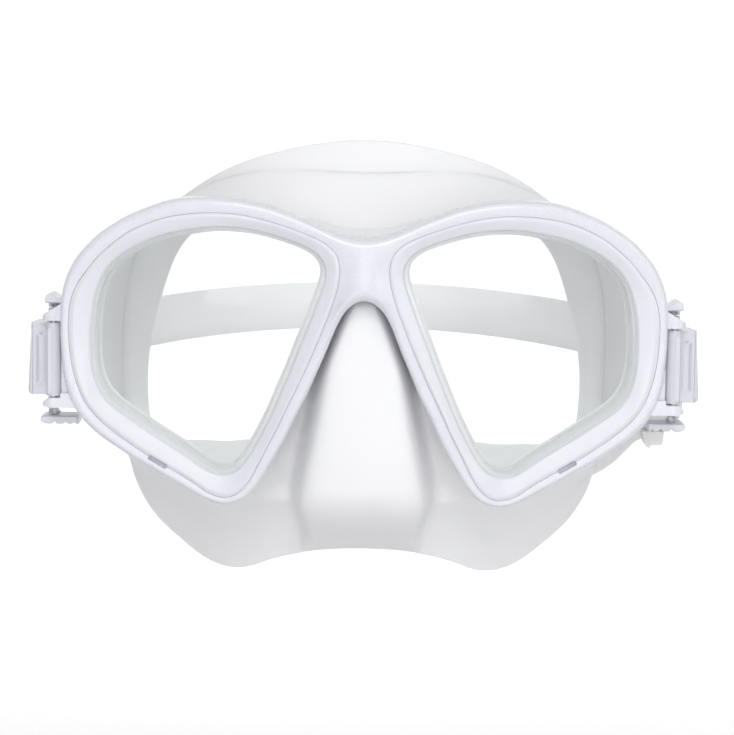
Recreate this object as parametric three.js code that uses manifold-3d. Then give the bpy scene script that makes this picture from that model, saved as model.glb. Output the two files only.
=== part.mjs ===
// Diving mask: twin-lens, low-volume, with a silicone skirt, a one-band head
// strap and two swivelling quick-release buckles.  Millimetres, +Z up,
// +X to the viewer's right, +Y from the lenses towards the back of the head.
import * as THREE from 'three';
import { mergeVertices } from 'three/addons/utils/BufferGeometryUtils.js';
import Module from 'manifold-3d';

const wasm = await Module();
wasm.setup();

// ---------------------------------------------------------------- dimensions
const SEAL_Y = 40;            // face-seal plane: the part's own y = 0
const SWEEP = Math.tan(6 * Math.PI / 180);   // each lens plane sweeps back 6 degrees
const LEAN = -0.05;           // the lens plane leans: lower edge further back
const FRAME_DEPTH = 12;       // moulded frame, front to back
const LEDGE_Y = 8.6;          // front of the frame's inner ledge
const RING_Y0 = 0.3, RING_Y1 = 3.0;          // lens retaining ring
const LENS_Y0 = 3.4, LENS_Y1 = 6.8;          // tempered glass, 3.4 thick
const GASKET_Y0 = 3.3, GASKET_Y1 = 8.3;      // skirt bead clamped round the glass
const PLATE_Y0 = 12.4, PLATE_Y1 = 14.2;      // skirt's front web behind the frame
const SKIRT_T = 1.8;          // skirt wall
const FLAP_T = 1.3;           // inner sealing flap
const GAP = 0.3;              // running and assembly clearance
const STRAP_W = 14.6, STRAP_T = 1.5;
const STRAP_A = 84, STRAP_B = 147, STRAP_YC = 20, STRAP_RISE = 2.8;
const PIVOT_P = 82.4, PIVOT_Q = 13;          // buckle swivel pin (out, back)
const ROLL_P = 85.25, ROLL_Q = 24, ROLL_R = 1;
const PAWL_P = 85.25, PAWL_Q = 30.2;
const BODY_P0 = 81.2, BODY_P1 = 88.0, BODY_Q0 = 15.6, BODY_Q1 = 34, BODY_H = 9.9;
const COVER_P0 = 88.3, COVER_P1 = 89.6;
const EAR_Z0 = 10.2, EAR_Z1 = 13.8;
const TAB_Z0 = 15.2, TAB_Z1 = 17.9;
const PIN_TOP = 12.2, PIN_LOW = -13.7;
const BOSS_P = 83.2, BOSS_Q = 25;
const JOIN_Q = 44;            // where the strap's buckle ends meet the head band

// ------------------------------------------------------------------ outlines
// left half, bridge top, over the lens, side, bottom, up the leg to the arch
const FRAME_OUT = [[0,33.4],[-4.3,34],[-8.5,35.1],[-12.6,36.8],[-16.6,38.5],[-20.7,40.1],[-24.8,41.5],[-29.1,42.5],[-33.4,43.2],[-37.8,43.6],[-42.1,43.7],[-46.5,43.5],[-50.8,42.9],[-55,41.6],[-59.1,40],[-63.1,38.2],[-66.8,35.9],[-70.4,33.4],[-73.5,30.3],[-76.3,26.9],[-78.3,23],[-79.6,18.9],[-80.1,14.5],[-80.2,10.1],[-80.2,5.8],[-79.9,1.4],[-79.5,-3],[-78.7,-7.3],[-77.3,-11.4],[-75,-15.1],[-72,-18.3],[-68.6,-21],[-64.9,-23.4],[-61.2,-25.7],[-57.3,-27.8],[-53.5,-29.9],[-49.7,-32],[-45.8,-34.1],[-42,-36.1],[-37.8,-37.5],[-33.5,-37.1],[-29.9,-34.9],[-27.1,-31.5],[-24.8,-27.8],[-22.6,-24],[-20.5,-20.2],[-18.7,-16.2],[-16.8,-12.2],[-14.9,-8.3],[-13.2,-4.3],[-11.5,-0.2],[-9.8,3.8],[-8.2,7.9],[-6.4,11.9],[-3.9,15.4],[0,17.2]];
// left lens pocket in the frame, and the edge of the ring's window
const SEAM = [[-77.8,4.0],[-77.1,-1.2],[-75.8,-6.2],[-73.7,-11.0],[-70.4,-15.1],[-66.5,-18.4],[-62.2,-21.5],[-57.9,-24.3],[-53.4,-27.0],[-48.8,-29.5],[-44.3,-32.2],[-40.0,-35.0],[-34.9,-35.6],[-30.8,-32.5],[-28.1,-28.0],[-25.8,-23.3],[-23.4,-18.7],[-21.2,-14.0],[-19.0,-9.3],[-16.7,-4.5],[-14.6,0.2],[-12.5,5.0],[-10.6,9.9],[-8.7,14.7],[-7.2,19.7],[-6.4,24.9],[-7.6,29.8],[-11.7,33.0],[-16.5,35.0],[-21.4,36.7],[-26.4,38.1],[-31.5,39.2],[-36.7,39.7],[-41.9,39.7],[-47.1,39.2],[-52.3,38.3],[-57.2,36.6],[-61.9,34.4],[-66.1,31.3],[-70.0,27.8],[-73.3,23.7],[-76.1,19.4],[-77.7,14.4],[-78.0,9.2]];
const WINDOW = [[-71.9,4.0],[-71.6,-1.0],[-70.5,-5.8],[-68.0,-10.1],[-64.2,-13.3],[-60.1,-16.1],[-55.9,-18.9],[-51.7,-21.5],[-47.5,-24.1],[-43.3,-26.9],[-39.0,-29.3],[-34.2,-28.8],[-30.7,-25.3],[-28.2,-21.0],[-25.9,-16.6],[-23.8,-12.0],[-21.9,-7.4],[-20.0,-2.8],[-18.2,1.8],[-16.4,6.5],[-14.5,11.1],[-12.8,15.8],[-11.1,20.5],[-10.4,25.4],[-13.0,29.4],[-17.4,31.7],[-22.1,33.3],[-27.0,34.6],[-31.9,35.4],[-36.8,35.7],[-41.8,35.5],[-46.7,34.7],[-51.6,33.7],[-56.3,32.1],[-60.8,29.9],[-64.9,27.1],[-68.2,23.3],[-70.2,18.8],[-71.3,13.9],[-71.8,9.0]];
// skirt: root line behind the frame, outer sealing edge (with depth) and the
// free edge of the inner flap, left half, leg tip -> side -> top centre
const ROOT = [[-34.5,-35.2],[-42,-34],[-50,-29.5],[-58,-25],[-66,-20],[-72.6,-12.5],[-75.3,-3],[-75.7,8],[-74,20],[-68.5,29.6],[-60,36],[-50,39.4],[-38,40.6],[-26,39],[-14,34.8],[0,31.2]];
const EDGE = [[-33,-60.4,40],[-42.2,-59.1,43],[-50.9,-53.4,47],[-58.5,-47,50.5],[-65,-36,55],[-67.2,-22,60],[-67.7,-8,62.3],[-67.5,4,62.5],[-66,17,59.5],[-62,28.5,53],[-54.5,38.5,45.5],[-46,45.5,40],[-36,51,35.6],[-25,54.7,32.7],[-13,57.2,30.7],[0,58.3,30]];
const FLAP = [[-27,-27,43],[-36,-26.3,46],[-45.7,-26.3,49.5],[-54,-26.8,52],[-59.3,-24.5,54.5],[-61.2,-16,57.3],[-61.4,-6.3,58.5],[-60,3.8,58],[-57,15,55],[-53,25.5,47.5],[-47.5,32.8,40.5],[-40,38,36],[-31,42.3,33.3],[-21,44.8,31.3],[-10.5,46,30.2],[0,46.2,29.8]];
const FLAP_V = [0.6,0.6,0.62,0.66,0.76,0.82,0.83,0.83,0.82,0.8,0.78,0.76,0.74,0.72,0.7,0.7];
// nose pocket rows: z, half width of the root arch, half width of the pocket,
// depth of its front, depth of the valley beside it
const NOSE = [
  [14, 7.0, 4.0, 13.2, 0.4], [11, 8.7, 5.6, 11.4, 0.9], [7.5, 10.1, 6.9, 9.2, 1.4], [4, 11.5, 8.0, 6.6, 2.0],
  [0, 13.2, 9.2, 4.0, 3.0], [-5, 15.3, 10.2, 1.2, 4.0], [-10, 17.5, 11.2, -0.9, 5.0], [-15, 19.9, 12.2, -2.6, 6.0],
  [-20, 22.2, 13.3, -3.9, 6.6], [-25, 25.0, 14.4, -4.8, 7.2], [-30, 27.9, 15.5, -5.0, 7.6], [-34, 34.5, 16.3, -4.6, 8.0],
];
// below the leg tips: z on the centre line, pocket half width, front depth, valley base
const CHIN = [[-38, 16.3, -2.0, 23.5], [-41, 15.6, 1.4, 25.2], [-43.8, 14.6, 6.8, 27], [-47, 14, 15, 29], [-50.3, 14, 24, 31], [-53.5, 14, 32.5, 32.5]];

// ------------------------------------------------------------------- helpers
const V2 = (p) => new THREE.Vector2(p[0], p[1]);
const sweep = (x, z) => SWEEP * Math.abs(x) + LEAN * z;

function closed(points, count) {          // smooth closed resample
  const c = new THREE.CatmullRomCurve3(points.map((p) => new THREE.Vector3(p[0], p[1], 0)), true, 'centripetal');
  return c.getSpacedPoints(count).slice(0, count).map((p) => [p.x, p.y]);
}
function offset(points, d) {              // + grows a counter-clockwise loop
  const n = points.length, out = [];
  let area = 0;
  for (let i = 0; i < n; i++) { const a = points[i], b = points[(i + 1) % n]; area += a[0] * b[1] - b[0] * a[1]; }
  const s = area > 0 ? 1 : -1;
  for (let i = 0; i < n; i++) {
    const a = points[(i + n - 1) % n], b = points[(i + 1) % n];
    const tx = b[0] - a[0], tz = b[1] - a[1], l = Math.hypot(tx, tz);
    out.push([points[i][0] + s * d * tz / l, points[i][1] - s * d * tx / l]);
  }
  return out;
}
function prism(points, y0, y1, holes = [], bevel = 0, bevelT = 0, seg = 2) {   // x-z outline, extruded along y
  const shape = new THREE.Shape(points.map(V2));
  for (const h of holes) shape.holes.push(new THREE.Path(h.map(V2)));
  const g = new THREE.ExtrudeGeometry(shape, {
    depth: y1 - y0 - 2 * bevelT, steps: 1, curveSegments: 1,
    bevelEnabled: bevel > 0, bevelSize: bevel, bevelThickness: bevelT, bevelOffset: -bevel, bevelSegments: seg,
  });
  g.rotateX(Math.PI / 2);
  g.translate(0, y1 - bevelT, 0);
  return g;
}
function slab(points, z0, z1, holes = []) {             // x-y outline, extruded along z
  const shape = new THREE.Shape(points.map(V2));
  for (const h of holes) shape.holes.push(new THREE.Path(h.map(V2)));
  const g = new THREE.ExtrudeGeometry(shape, { depth: z1 - z0, steps: 1, bevelEnabled: false, curveSegments: 1 });
  g.translate(0, 0, z0);
  return g;
}
function block(x0, x1, y0, y1, z0, z1) {
  const g = new THREE.BoxGeometry(x1 - x0, y1 - y0, z1 - z0);
  g.translate((x0 + x1) / 2, (y0 + y1) / 2, (z0 + z1) / 2);
  return g;
}
function rod(x, y, z0, z1, r, n = 12) {                 // round, along z
  const g = new THREE.CylinderGeometry(r, r, z1 - z0, n);
  g.rotateX(Math.PI / 2);
  g.translate(x, y, (z0 + z1) / 2);
  return g;
}
function solid(g) {
  const c = g.clone();
  for (const k of Object.keys(c.attributes)) if (k !== 'position') c.deleteAttribute(k);
  const m = mergeVertices(c, 1e-4);
  const idx = Array.from(m.index.array), keep = [];
  for (let i = 0; i < idx.length; i += 3) {
    const [a, b, d] = [idx[i], idx[i + 1], idx[i + 2]];
    if (a !== b && b !== d && d !== a) keep.push(a, b, d);
  }
  return new wasm.Manifold(new wasm.Mesh({
    numProp: 3, vertProperties: new Float32Array(m.attributes.position.array), triVerts: new Uint32Array(keep),
  }));
}
function geometry(man) {
  const m = man.getMesh();
  const g = new THREE.BufferGeometry();
  g.setAttribute('position', new THREE.BufferAttribute(new Float32Array(m.vertProperties), 3));
  g.setIndex(new THREE.BufferAttribute(new Uint32Array(m.triVerts), 1));
  return g;
}
const S = (g) => (g.isBufferGeometry ? solid(g) : g);
const join = (...p) => p.map(S).reduce((a, b) => a.add(b));
const cut = (a, ...p) => p.map(S).reduce((m, b) => m.subtract(b), S(a));
function map(g, fn) {
  const c = g.clone(), p = c.attributes.position;
  for (let i = 0; i < p.count; i++) { const q = fn(p.getX(i), p.getY(i), p.getZ(i)); p.setXYZ(i, q[0], q[1], q[2]); }
  return c;
}
function mirrored(g) {                                   // across x = 0
  const c = map(g, (x, y, z) => [-x, y, z]);
  const i = c.index ? Array.from(c.index.array) : [...Array(c.attributes.position.count).keys()];
  for (let k = 0; k < i.length; k += 3) [i[k + 1], i[k + 2]] = [i[k + 2], i[k + 1]];
  c.setIndex(i);
  return c;
}
const swept = (g) => map(g, (x, y, z) => [x, y + sweep(x, z), z]);
function volume(v, f) {
  let s = 0;
  for (const [a, b, c] of f) s += v[a].dot(new THREE.Vector3().crossVectors(v[b], v[c]));
  return s / 6;
}
function thicken(verts, faces, t) {        // open sheet -> closed solid, grown inwards
  const n = verts.map(() => new THREE.Vector3());
  for (const [a, b, c] of faces) {
    const k = new THREE.Vector3().crossVectors(verts[b].clone().sub(verts[a]), verts[c].clone().sub(verts[a]));
    n[a].add(k); n[b].add(k); n[c].add(k);
  }
  const N = verts.length;
  const all = verts.concat(verts.map((v, i) => v.clone().addScaledVector(n[i].normalize(), -t)));
  const f = faces.map((x) => x.slice()), edge = new Map();
  for (const [a, b, c] of faces) {
    f.push([a + N, c + N, b + N]);
    for (const [p, q] of [[a, b], [b, c], [c, a]]) {
      if (edge.has(q + '_' + p)) edge.delete(q + '_' + p); else edge.set(p + '_' + q, [p, q]);
    }
  }
  for (const [p, q] of edge.values()) f.push([q, p, p + N], [q, p + N, q + N]);
  if (volume(all, f) < 0) for (const x of f) [x[1], x[2]] = [x[2], x[1]];
  const g = new THREE.BufferGeometry();
  g.setAttribute('position', new THREE.BufferAttribute(new Float32Array(all.flatMap((v) => [v.x, v.y, v.z])), 3));
  g.setIndex(f.flat());
  return g;
}
function spline(keys, per) {               // open smooth curve through keys
  const c = new THREE.CatmullRomCurve3(keys.map((k) => new THREE.Vector3(k[0], k[1], k[2] ?? 0)), false, 'centripetal');
  const out = [];
  const n = keys.length - 1;
  for (let i = 0; i <= n * per; i++) out.push(c.getPoint(i / (n * per)));
  return out;
}

// --------------------------------------------------------------- lens stacks
const seam = closed(SEAM, 44);
const windowEdge = closed(WINDOW, 40);
const aperture = offset(windowEdge, -1.4);
const lensEdge = offset(windowEdge, 1.8);
const neck = offset(windowEdge, 0.6);

const ringG = swept(prism(offset(seam, -GAP), RING_Y0, RING_Y1, [windowEdge], 0.9, 0.7, 1));
const ringSlot = map(block(-2.6, 2.6, -0.3, 1.3, -0.6, 0.6), (x, y, z) => {   // pry slot on the seam
  const a = 29 * Math.PI / 180;
  const c = [-54.2, -26.6];
  return [c[0] + x * Math.cos(a) + z * Math.sin(a), y, c[1] - x * Math.sin(a) + z * Math.cos(a)];
});
const ringSolid = cut(ringG, swept(ringSlot));
const lensG = swept(prism(lensEdge, LENS_Y0, LENS_Y1));
const gasket = cut(
  prism(offset(seam, -0.4), GASKET_Y0, GASKET_Y1),
  prism(offset(lensEdge, 0.3), GASKET_Y0 - 1, LENS_Y1 + 0.3),
  prism(aperture, 0, 20));
const neckTube = cut(prism(neck, GASKET_Y1 - 0.8, PLATE_Y0 + 0.6), prism(aperture, 0, 20));

// --------------------------------------------------------------------- frame
function frameSolid() {
  const half = FRAME_OUT;
  const loop = half.concat(half.slice(1, -1).reverse().map((p) => [-p[0], p[1]]));
  const outer = solid(prism(loop, 0, FRAME_DEPTH, [], 1.0, 1.0, 1));
  const left = outer.intersect(solid(block(-100, 0, -5, 20, -60, 60)));
  const cutters = [
    prism(seam, -1, LEDGE_Y),
    prism(offset(neck, GAP), -1, FRAME_DEPTH + 1),
  ];
  let m = cut(left, ...cutters);
  m = cut(m, ringSlot);
  // shallow relief behind the bridge
  m = cut(m, prism([[-5.2, 31], [0, 31.6], [1, 31.6], [1, 19.5], [0, 19.5], [-3.6, 19.2], [-4.4, 22]], 8.5, FRAME_DEPTH + 1));
  const bent = solid(swept(geometry(m)));
  // hinge ears on the flank, in the straight (unswept) frame
  let ears = [];
  for (const s of [1, -1]) {
    const pts = [], a0 = -100, a1 = 100;
    for (let k = 0; k <= 8; k++) { const a = (a0 + (a1 - a0) * k / 8) * Math.PI / 180; pts.push([-(PIVOT_P + 3 * Math.cos(a)), PIVOT_Q + 3 * Math.sin(a)]); }
    pts.push([s > 0 ? -77 : -73.4, 17.6], [s > 0 ? -77 : -73.4, 9.4]);
    const plan = solid(slab(pts, s > 0 ? EAR_Z0 : -EAR_Z1, s > 0 ? EAR_Z1 : -EAR_Z0));
    // seen from the front: a wedge above, a rounded lobe below
    const front = s > 0
      ? [[-70, 10], [-85.4, 10], [-85.4, 11.4], [-84.9, 11.95], [-81.6, EAR_Z1], [-81.6, 14], [-70, 14]]
      : [[-70, -10], [-83, -10], [-84.3, -11], [-85.25, -12.3], [-84.9, -13.3], [-83.6, -14], [-70, -14]];
    const g = plan.intersect(solid(prism(front, 0, 30)));
    ears.push(cut(g, rod(-PIVOT_P, PIVOT_Q, s > 0 ? 8 : -16, s > 0 ? PIN_TOP + 0.25 : -8, 1.15)));
  }
  const pocket = solid(swept(prism(seam, -6, LEDGE_Y)));
  ears = ears.map((e) => e.subtract(pocket));
  const whole = join(bent, ...ears);
  return whole.add(solid(mirrored(geometry(whole))));
}

// --------------------------------------------------------------------- skirt
const rootY = (x, z) => PLATE_Y0 + 0.05 + sweep(x, z);
const PER = 1, NV = 6;
const V = [0, 0.16, 0.34, 0.54, 0.72, 0.87, 1];
const rootC = spline(ROOT, PER), edgeC = spline(EDGE, PER), flapC = spline(FLAP, PER);
const flapV = spline(FLAP_V.map((v, i) => [i, v, 0]), PER).map((p) => p.y);
function wall(i, v) {                       // i over the half outline, v root -> edge
  const r = rootC[i], e = edgeC[i];
  const R = new THREE.Vector3(r.x, rootY(r.x, r.y), r.y), E = new THREE.Vector3(e.x, e.z, e.y);
  const C = new THREE.Vector3(R.x + 0.4 * (E.x - R.x), R.y + 0.74 * (E.y - R.y), R.z + 0.4 * (E.z - R.z));
  return R.multiplyScalar((1 - v) * (1 - v)).addScaledVector(C, 2 * v * (1 - v)).addScaledVector(E, v * v);
}
const colX = (hw, X) => {
  const g = X - hw;
  const a = Math.min(1.1, 0.2 * g), b = Math.min(2.4, 0.42 * g), c = Math.min(4.2, 0.66 * g);
  return [0, 0.5 * hw, 0.85 * hw, hw, hw + a, hw + b, hw + c, (hw + c + X) / 2, X];
};
const colS = [1, 1, 0.96, 0.84, 0.55, 0.2, 0.02, 0, 0];
function skirtSheet() {
  const verts = [], faces = [], key = new Map();
  const add = (v) => {
    const k = v.toArray().map((c) => Math.round(c * 500)).join(',');
    if (!key.has(k)) { key.set(k, verts.length); verts.push(v.clone()); }
    return key.get(k);
  };
  const quad = (a, b, c, d) => { for (const t of [[a, b, c], [a, c, d]]) if (new Set(t).size === 3) faces.push(t); };
  const n = rootC.length - 1;
  const flip = (v) => new THREE.Vector3(-v.x, v.y, v.z);
  for (let i = 0; i < n; i++) for (let j = 0; j < NV; j++) {
    const p = [wall(i, V[j]), wall(i + 1, V[j]), wall(i + 1, V[j + 1]), wall(i, V[j + 1])];
    quad(...p.map(add));
    quad(...p.map(flip).reverse().map(add));
  }
  // centre patch: rows from the arch apex down to the lip
  const rows = [];
  const K = 9;
  const half0 = [];
  for (let k = 0; k < K; k++) { const s = k / (K - 1), x = 5.2 * s, z = 18.8 - 2.2 * s * s; half0.push(new THREE.Vector3(x, rootY(x, z), z)); }
  rows.push(half0);
  for (const [z, X, hw, yf, dep] of NOSE) {
    const last = z === -34;
    const yr = rootY(X, last ? -35.2 : z);
    const xs = colX(hw, X);
    rows.push(xs.map((x, k) => {
      const yb = yr + dep * (1 - Math.pow(x / X, 4));
      const zz = last ? z - 1.2 * Math.pow(x / X, 2) : z;
      const y = yb + (yf - (yr + dep)) * colS[k];
      return k === K - 1 ? (last ? flip(wall(0, 0)) : new THREE.Vector3(X, yr, z)) : new THREE.Vector3(x, y, zz);
    }));
  }
  CHIN.forEach(([z, hw, yf, base], j) => {
    const e = wall(0, V[j + 1]);
    const X = -e.x, xs = colX(hw, X);
    rows.push(xs.map((x, k) => {
      if (k === K - 1) return flip(e);
      const t = x / X, yb = base + (e.y - base) * t * t, zz = z + (e.z - z) * Math.pow(t, 2.2);
      return new THREE.Vector3(x, yb + (yf - base) * colS[k], zz);
    }));
  });
  for (let r = 0; r + 1 < rows.length; r++) for (let k = 0; k + 1 < K; k++) {
    const p = [rows[r][k], rows[r + 1][k], rows[r + 1][k + 1], rows[r][k + 1]];
    quad(...p.map(add));
    quad(...p.map(flip).reverse().map(add));
  }
  return { verts, faces };
}
function flapSheet() {
  const verts = [], faces = [];
  const n = rootC.length - 1;
  const line = [];
  const at = (i) => {
    const v = flapV[i];
    const a = wall(i, v), d = 0.02;
    const along = wall(Math.min(n, i + 1), v).sub(wall(Math.max(0, i - 1), v)).normalize();
    const down = wall(i, v + d).sub(wall(i, v - d)).normalize();
    const nn = new THREE.Vector3().crossVectors(along, down).normalize();
    const centre = new THREE.Vector3(-30, 30, 2);
    if (nn.dot(centre.clone().sub(a)) < 0) nn.negate();
    const J = a.clone().addScaledVector(nn, 0.75);
    const f = flapC[i], E = new THREE.Vector3(f.x, f.z, f.y);
    const M = J.clone().lerp(E, 0.45).add(new THREE.Vector3(0, 2.2, 0));
    return [0, 0.3, 0.65, 1].map((t) => J.clone().multiplyScalar((1 - t) ** 2).addScaledVector(M, 2 * t * (1 - t)).addScaledVector(E, t * t));
  };
  for (let i = 0; i <= n; i++) line.push(at(i));
  for (let i = n - 1; i >= 0; i--) line.push(line[i].map((v) => new THREE.Vector3(-v.x, v.y, v.z)));
  line.forEach((l) => verts.push(...l));
  for (let i = 0; i + 1 < line.length; i++) for (let j = 0; j < 3; j++) {
    const a = i * 4 + j, b = a + 4;
    faces.push([a, b, b + 1], [a, b + 1, a + 1]);
  }
  return { verts, faces };
}
function skirtSolid() {
  const sheet = skirtSheet();
  const shell = solid(thicken(sheet.verts, orient(sheet), SKIRT_T));
  const flap = flapSheet();
  const flapM = solid(thicken(flap.verts, flap.faces, FLAP_T));
  // front web: root outline (slightly inside) less the aperture, one half at a time
  const arch = [[-5.2, 16.6]].concat(NOSE.slice(0, -1).map(([z, X]) => [-X, z]));
  let loop = rootC.map((p) => [p.x, p.y]).reverse();            // top centre -> leg tip
  loop = loop.concat(arch.slice().reverse(), [[0, 18.8]]);
  const inner = offset(loop, -0.6).map((p, i) => ((i === 0 || i === loop.length - 1) ? [0, loop[i][1] + (i === 0 ? -0.6 : 0.6)] : p));
  let left = cut(prism(inner, PLATE_Y0, PLATE_Y1), prism(aperture, 0, 30));
  left = join(left, neckTube, gasket);
  const g = swept(geometry(left));
  let all = solid(g).add(solid(mirrored(g)));
  all = all.add(shell);
  all = all.add(flapM);
  return all;
}
function orient({ verts, faces }) {          // normals away from the face cavity
  const c = new THREE.Vector3(0, 45, 0);
  let s = 0;
  for (const [a, b, d] of faces) {
    const k = new THREE.Vector3().crossVectors(verts[b].clone().sub(verts[a]), verts[d].clone().sub(verts[a]));
    s += k.dot(verts[a].clone().sub(c));
  }
  return s > 0 ? faces : faces.map(([a, b, d]) => [a, d, b]);
}

// --------------------------------------------------------------------- strap
const strapPoint = (a) => new THREE.Vector3(STRAP_A * Math.cos(a), STRAP_YC + STRAP_B * Math.sin(a), STRAP_RISE * Math.pow(Math.sin(a), 2));
function ribbon(path, widthDir, w, t, bow = 0.35) {      // flat band with softened edges along a path
  // section: 8 points; width along widthDir, thickness across
  const sec = [[-w / 2 + 0.5, -t / 2], [w / 2 - 0.5, -t / 2], [w / 2, -t / 2 + 0.5], [w / 2, t / 2 - 0.5], [w / 2 - 0.5, t / 2], [-w / 2 + 0.5, t / 2], [-w / 2, t / 2 - 0.5], [-w / 2, -t / 2 + 0.5]];
  const n = path.length, verts = [], faces = [];
  for (let i = 0; i < n; i++) {
    const T = path[Math.min(n - 1, i + 1)].clone().sub(path[Math.max(0, i - 1)]).normalize();
    let W = (Array.isArray(widthDir) ? widthDir[i] : widthDir).clone();
    W.addScaledVector(T, -W.dot(T)).normalize();
    const N = new THREE.Vector3().crossVectors(T, W).normalize();
    for (const [a, b] of sec) verts.push(path[i].clone().addScaledVector(W, a).addScaledVector(N, b));
  }
  const m = sec.length;
  for (let i = 0; i + 1 < n; i++) for (let k = 0; k < m; k++) {
    const a = i * m + k, b = i * m + (k + 1) % m, c = a + m, d = b + m;
    faces.push([a, b, d], [a, d, c]);
  }
  for (let k = 1; k + 1 < m; k++) { faces.push([0, k + 1, k]); const o = (n - 1) * m; faces.push([o, o + k, o + k + 1]); }
  if (volume(verts, faces) < 0) for (const x of faces) [x[1], x[2]] = [x[2], x[1]];
  const g = new THREE.BufferGeometry();
  g.setAttribute('position', new THREE.BufferAttribute(new Float32Array(verts.flatMap((v) => [v.x, v.y, v.z])), 3));
  g.setIndex(faces.flat());
  return g;
}
const UP = new THREE.Vector3(0, 0, 1);
const joinA = Math.asin((JOIN_Q - STRAP_YC) / STRAP_B);
function headBand() {
  const n = 25, pts = [];
  for (let i = 0; i <= n; i++) pts.push(strapPoint(joinA + (Math.PI - 2 * joinA) * i / n));
  return ribbon(pts, UP, STRAP_W, STRAP_T);
}
// buckle end: inner run forward to the roller, round it, and back outside as the tail
function strapEnd(side) {
  const fr = ROLL_R + GAP + STRAP_T / 2;
  const pts = [];
  for (const q of [JOIN_Q - GAP, 38, 31]) {
    const a = Math.asin((q - STRAP_YC) / STRAP_B);
    const x = q > 35 ? STRAP_A * Math.cos(a) + (38.5 - q > 0 ? -0.05 : 0) : ROLL_P - fr;
    pts.push(new THREE.Vector3(x, q, q > 35 ? STRAP_RISE * Math.sin(a) ** 2 : 0));
  }
  for (let k = 0; k <= 8; k++) { const a = Math.PI + Math.PI * k / 8; pts.push(new THREE.Vector3(ROLL_P + fr * Math.cos(a), ROLL_Q + fr * Math.sin(a), 0)); }
  pts.push(new THREE.Vector3(ROLL_P + fr, 29, 0), new THREE.Vector3(ROLL_P + fr, 34.5, 0));
  const W = pts.map(() => UP.clone());
  const tail = side < 0
    ? [[86.8, 42, 0.1], [85.3, 50, 0.25], [83.7, 58, 0.35], [82.0, 66.5, 0.5], [80.9, 71.8, 0.6], [79.2, 79.8, 0.8], [77.1, 87.9, 1.0]]
    : [[87.8, 42, -1.5], [88.4, 49, -4.2], [87.8, 56, -9], [85.6, 62, -14.6], [80.4, 66.4, -18.2], [74.4, 69, -21.4], [70, 69.6, -25.8], [66.2, 69.4, -29.3], [60.8, 68.8, -31.8], [54.2, 67.6, -33.3]];
  const dirs = side < 0 ? tail.map(() => [0, 0, 1])
    : [[0.02, 0.1, 1], [0.02, 0.22, 1], [-0.08, 0.25, 1], [-0.3, 0.22, 1], [-0.5, 0.12, 0.9], [-0.62, 0.05, 0.78], [-0.64, 0, 0.76], [-0.5, 0, 0.87], [-0.33, 0, 0.94], [-0.25, 0, 0.97]];
  tail.forEach((p, i) => { pts.push(new THREE.Vector3(...p)); W.push(new THREE.Vector3(...dirs[i])); });
  const g = ribbon(pts, W, STRAP_W, STRAP_T);
  return side < 0 ? mirrored(g) : g;
}

// ------------------------------------------------------------------- buckles
// all buckle pieces are drawn on the right (+x) side and mirrored for the left
function rounded(x0, x1, y0, y1, r, n = 3) {
  const pts = [];
  for (const [cx, cy, a0] of [[x1 - r, y1 - r, 0], [x0 + r, y1 - r, 90], [x0 + r, y0 + r, 180], [x1 - r, y0 + r, 270]])
    for (let k = 0; k <= n; k++) { const a = (a0 + 90 * k / n) * Math.PI / 180; pts.push([cx + r * Math.cos(a), cy + r * Math.sin(a)]); }
  return pts;
}
function buckleBody() {
  let m = join(prism(rounded(BODY_P0, BODY_P1, -BODY_H, BODY_H, 1.6, 2), BODY_Q0, BODY_Q1),
    rod(PIVOT_P, PIVOT_Q, -BODY_H, BODY_H, 1.9, 14),
    block(BODY_P0 + 0.2, PIVOT_P + 1.7, PIVOT_Q + 0.6, BODY_Q0 + 0.8, -BODY_H + 0.02, BODY_H - 0.02));
  m = cut(m, block(82.15, 95, BODY_Q0 + 1.4, 40, -7.6, 7.6), block(84.1, 87.2, 14, BODY_Q0 + 0.6, -7.8, 7.8),   // shallow panel on the front
    rod(PIVOT_P, PIVOT_Q, -12, 12, 1.15));
  for (const s of [1, -1]) {
    const z = (a, b) => (s > 0 ? [a, b] : [-b, -a]);
    const boss = cut(rod(BOSS_P, BOSS_Q, ...z(9.6, 12.4), 2, 14), rod(BOSS_P, BOSS_Q, ...z(9.9, 20), 1.65, 14));
    m = m.add(boss);
  }
  m = cut(m, rod(ROLL_P, ROLL_Q, -12, 12, 0.75, 10), rod(PAWL_P, PAWL_Q, -12, 12, 1.1, 10));
  return m;
}
const cover = () => {
  const g = new THREE.ExtrudeGeometry(new THREE.Shape(rounded(14.6, BODY_Q1, -BODY_H, BODY_H, 2.2, 3).map(V2)), {
    depth: COVER_P1 - COVER_P0 - 0.5, steps: 1, bevelEnabled: true, bevelSize: 0.5, bevelThickness: 0.25, bevelOffset: -0.5, bevelSegments: 1, curveSegments: 1,
  });
  // shape (q, z) extruded along +x
  return map(g, (a, b, c) => [COVER_P0 + 0.25 + c, a, b]);
};
function rollerTube() {
  const prof = [[0.7, -7.3], [ROLL_R, -7.3], [ROLL_R, 7.3], [0.7, 7.3], [0.7, -7.3]].map(V2);
  const g = new THREE.LatheGeometry(prof, 14);
  g.rotateX(Math.PI / 2);
  g.translate(ROLL_P, ROLL_Q, 0);
  return g;
}
function pawlSolid() {
  const arm = slab([[PAWL_P - 0.2, PAWL_Q - 0.8], [PAWL_P + 0.75, PAWL_Q - 0.3], [PAWL_P + 1, PAWL_Q + 2], [PAWL_P + 0.5, PAWL_Q + 2.6], [PAWL_P - 0.4, PAWL_Q + 0.7]], -6.8, 6.8);
  return join(rod(PAWL_P, PAWL_Q, -10.9, 10.9, 0.8, 10), rod(PAWL_P, PAWL_Q, -6.8, 6.8, 0.98, 12), arm);
}
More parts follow.
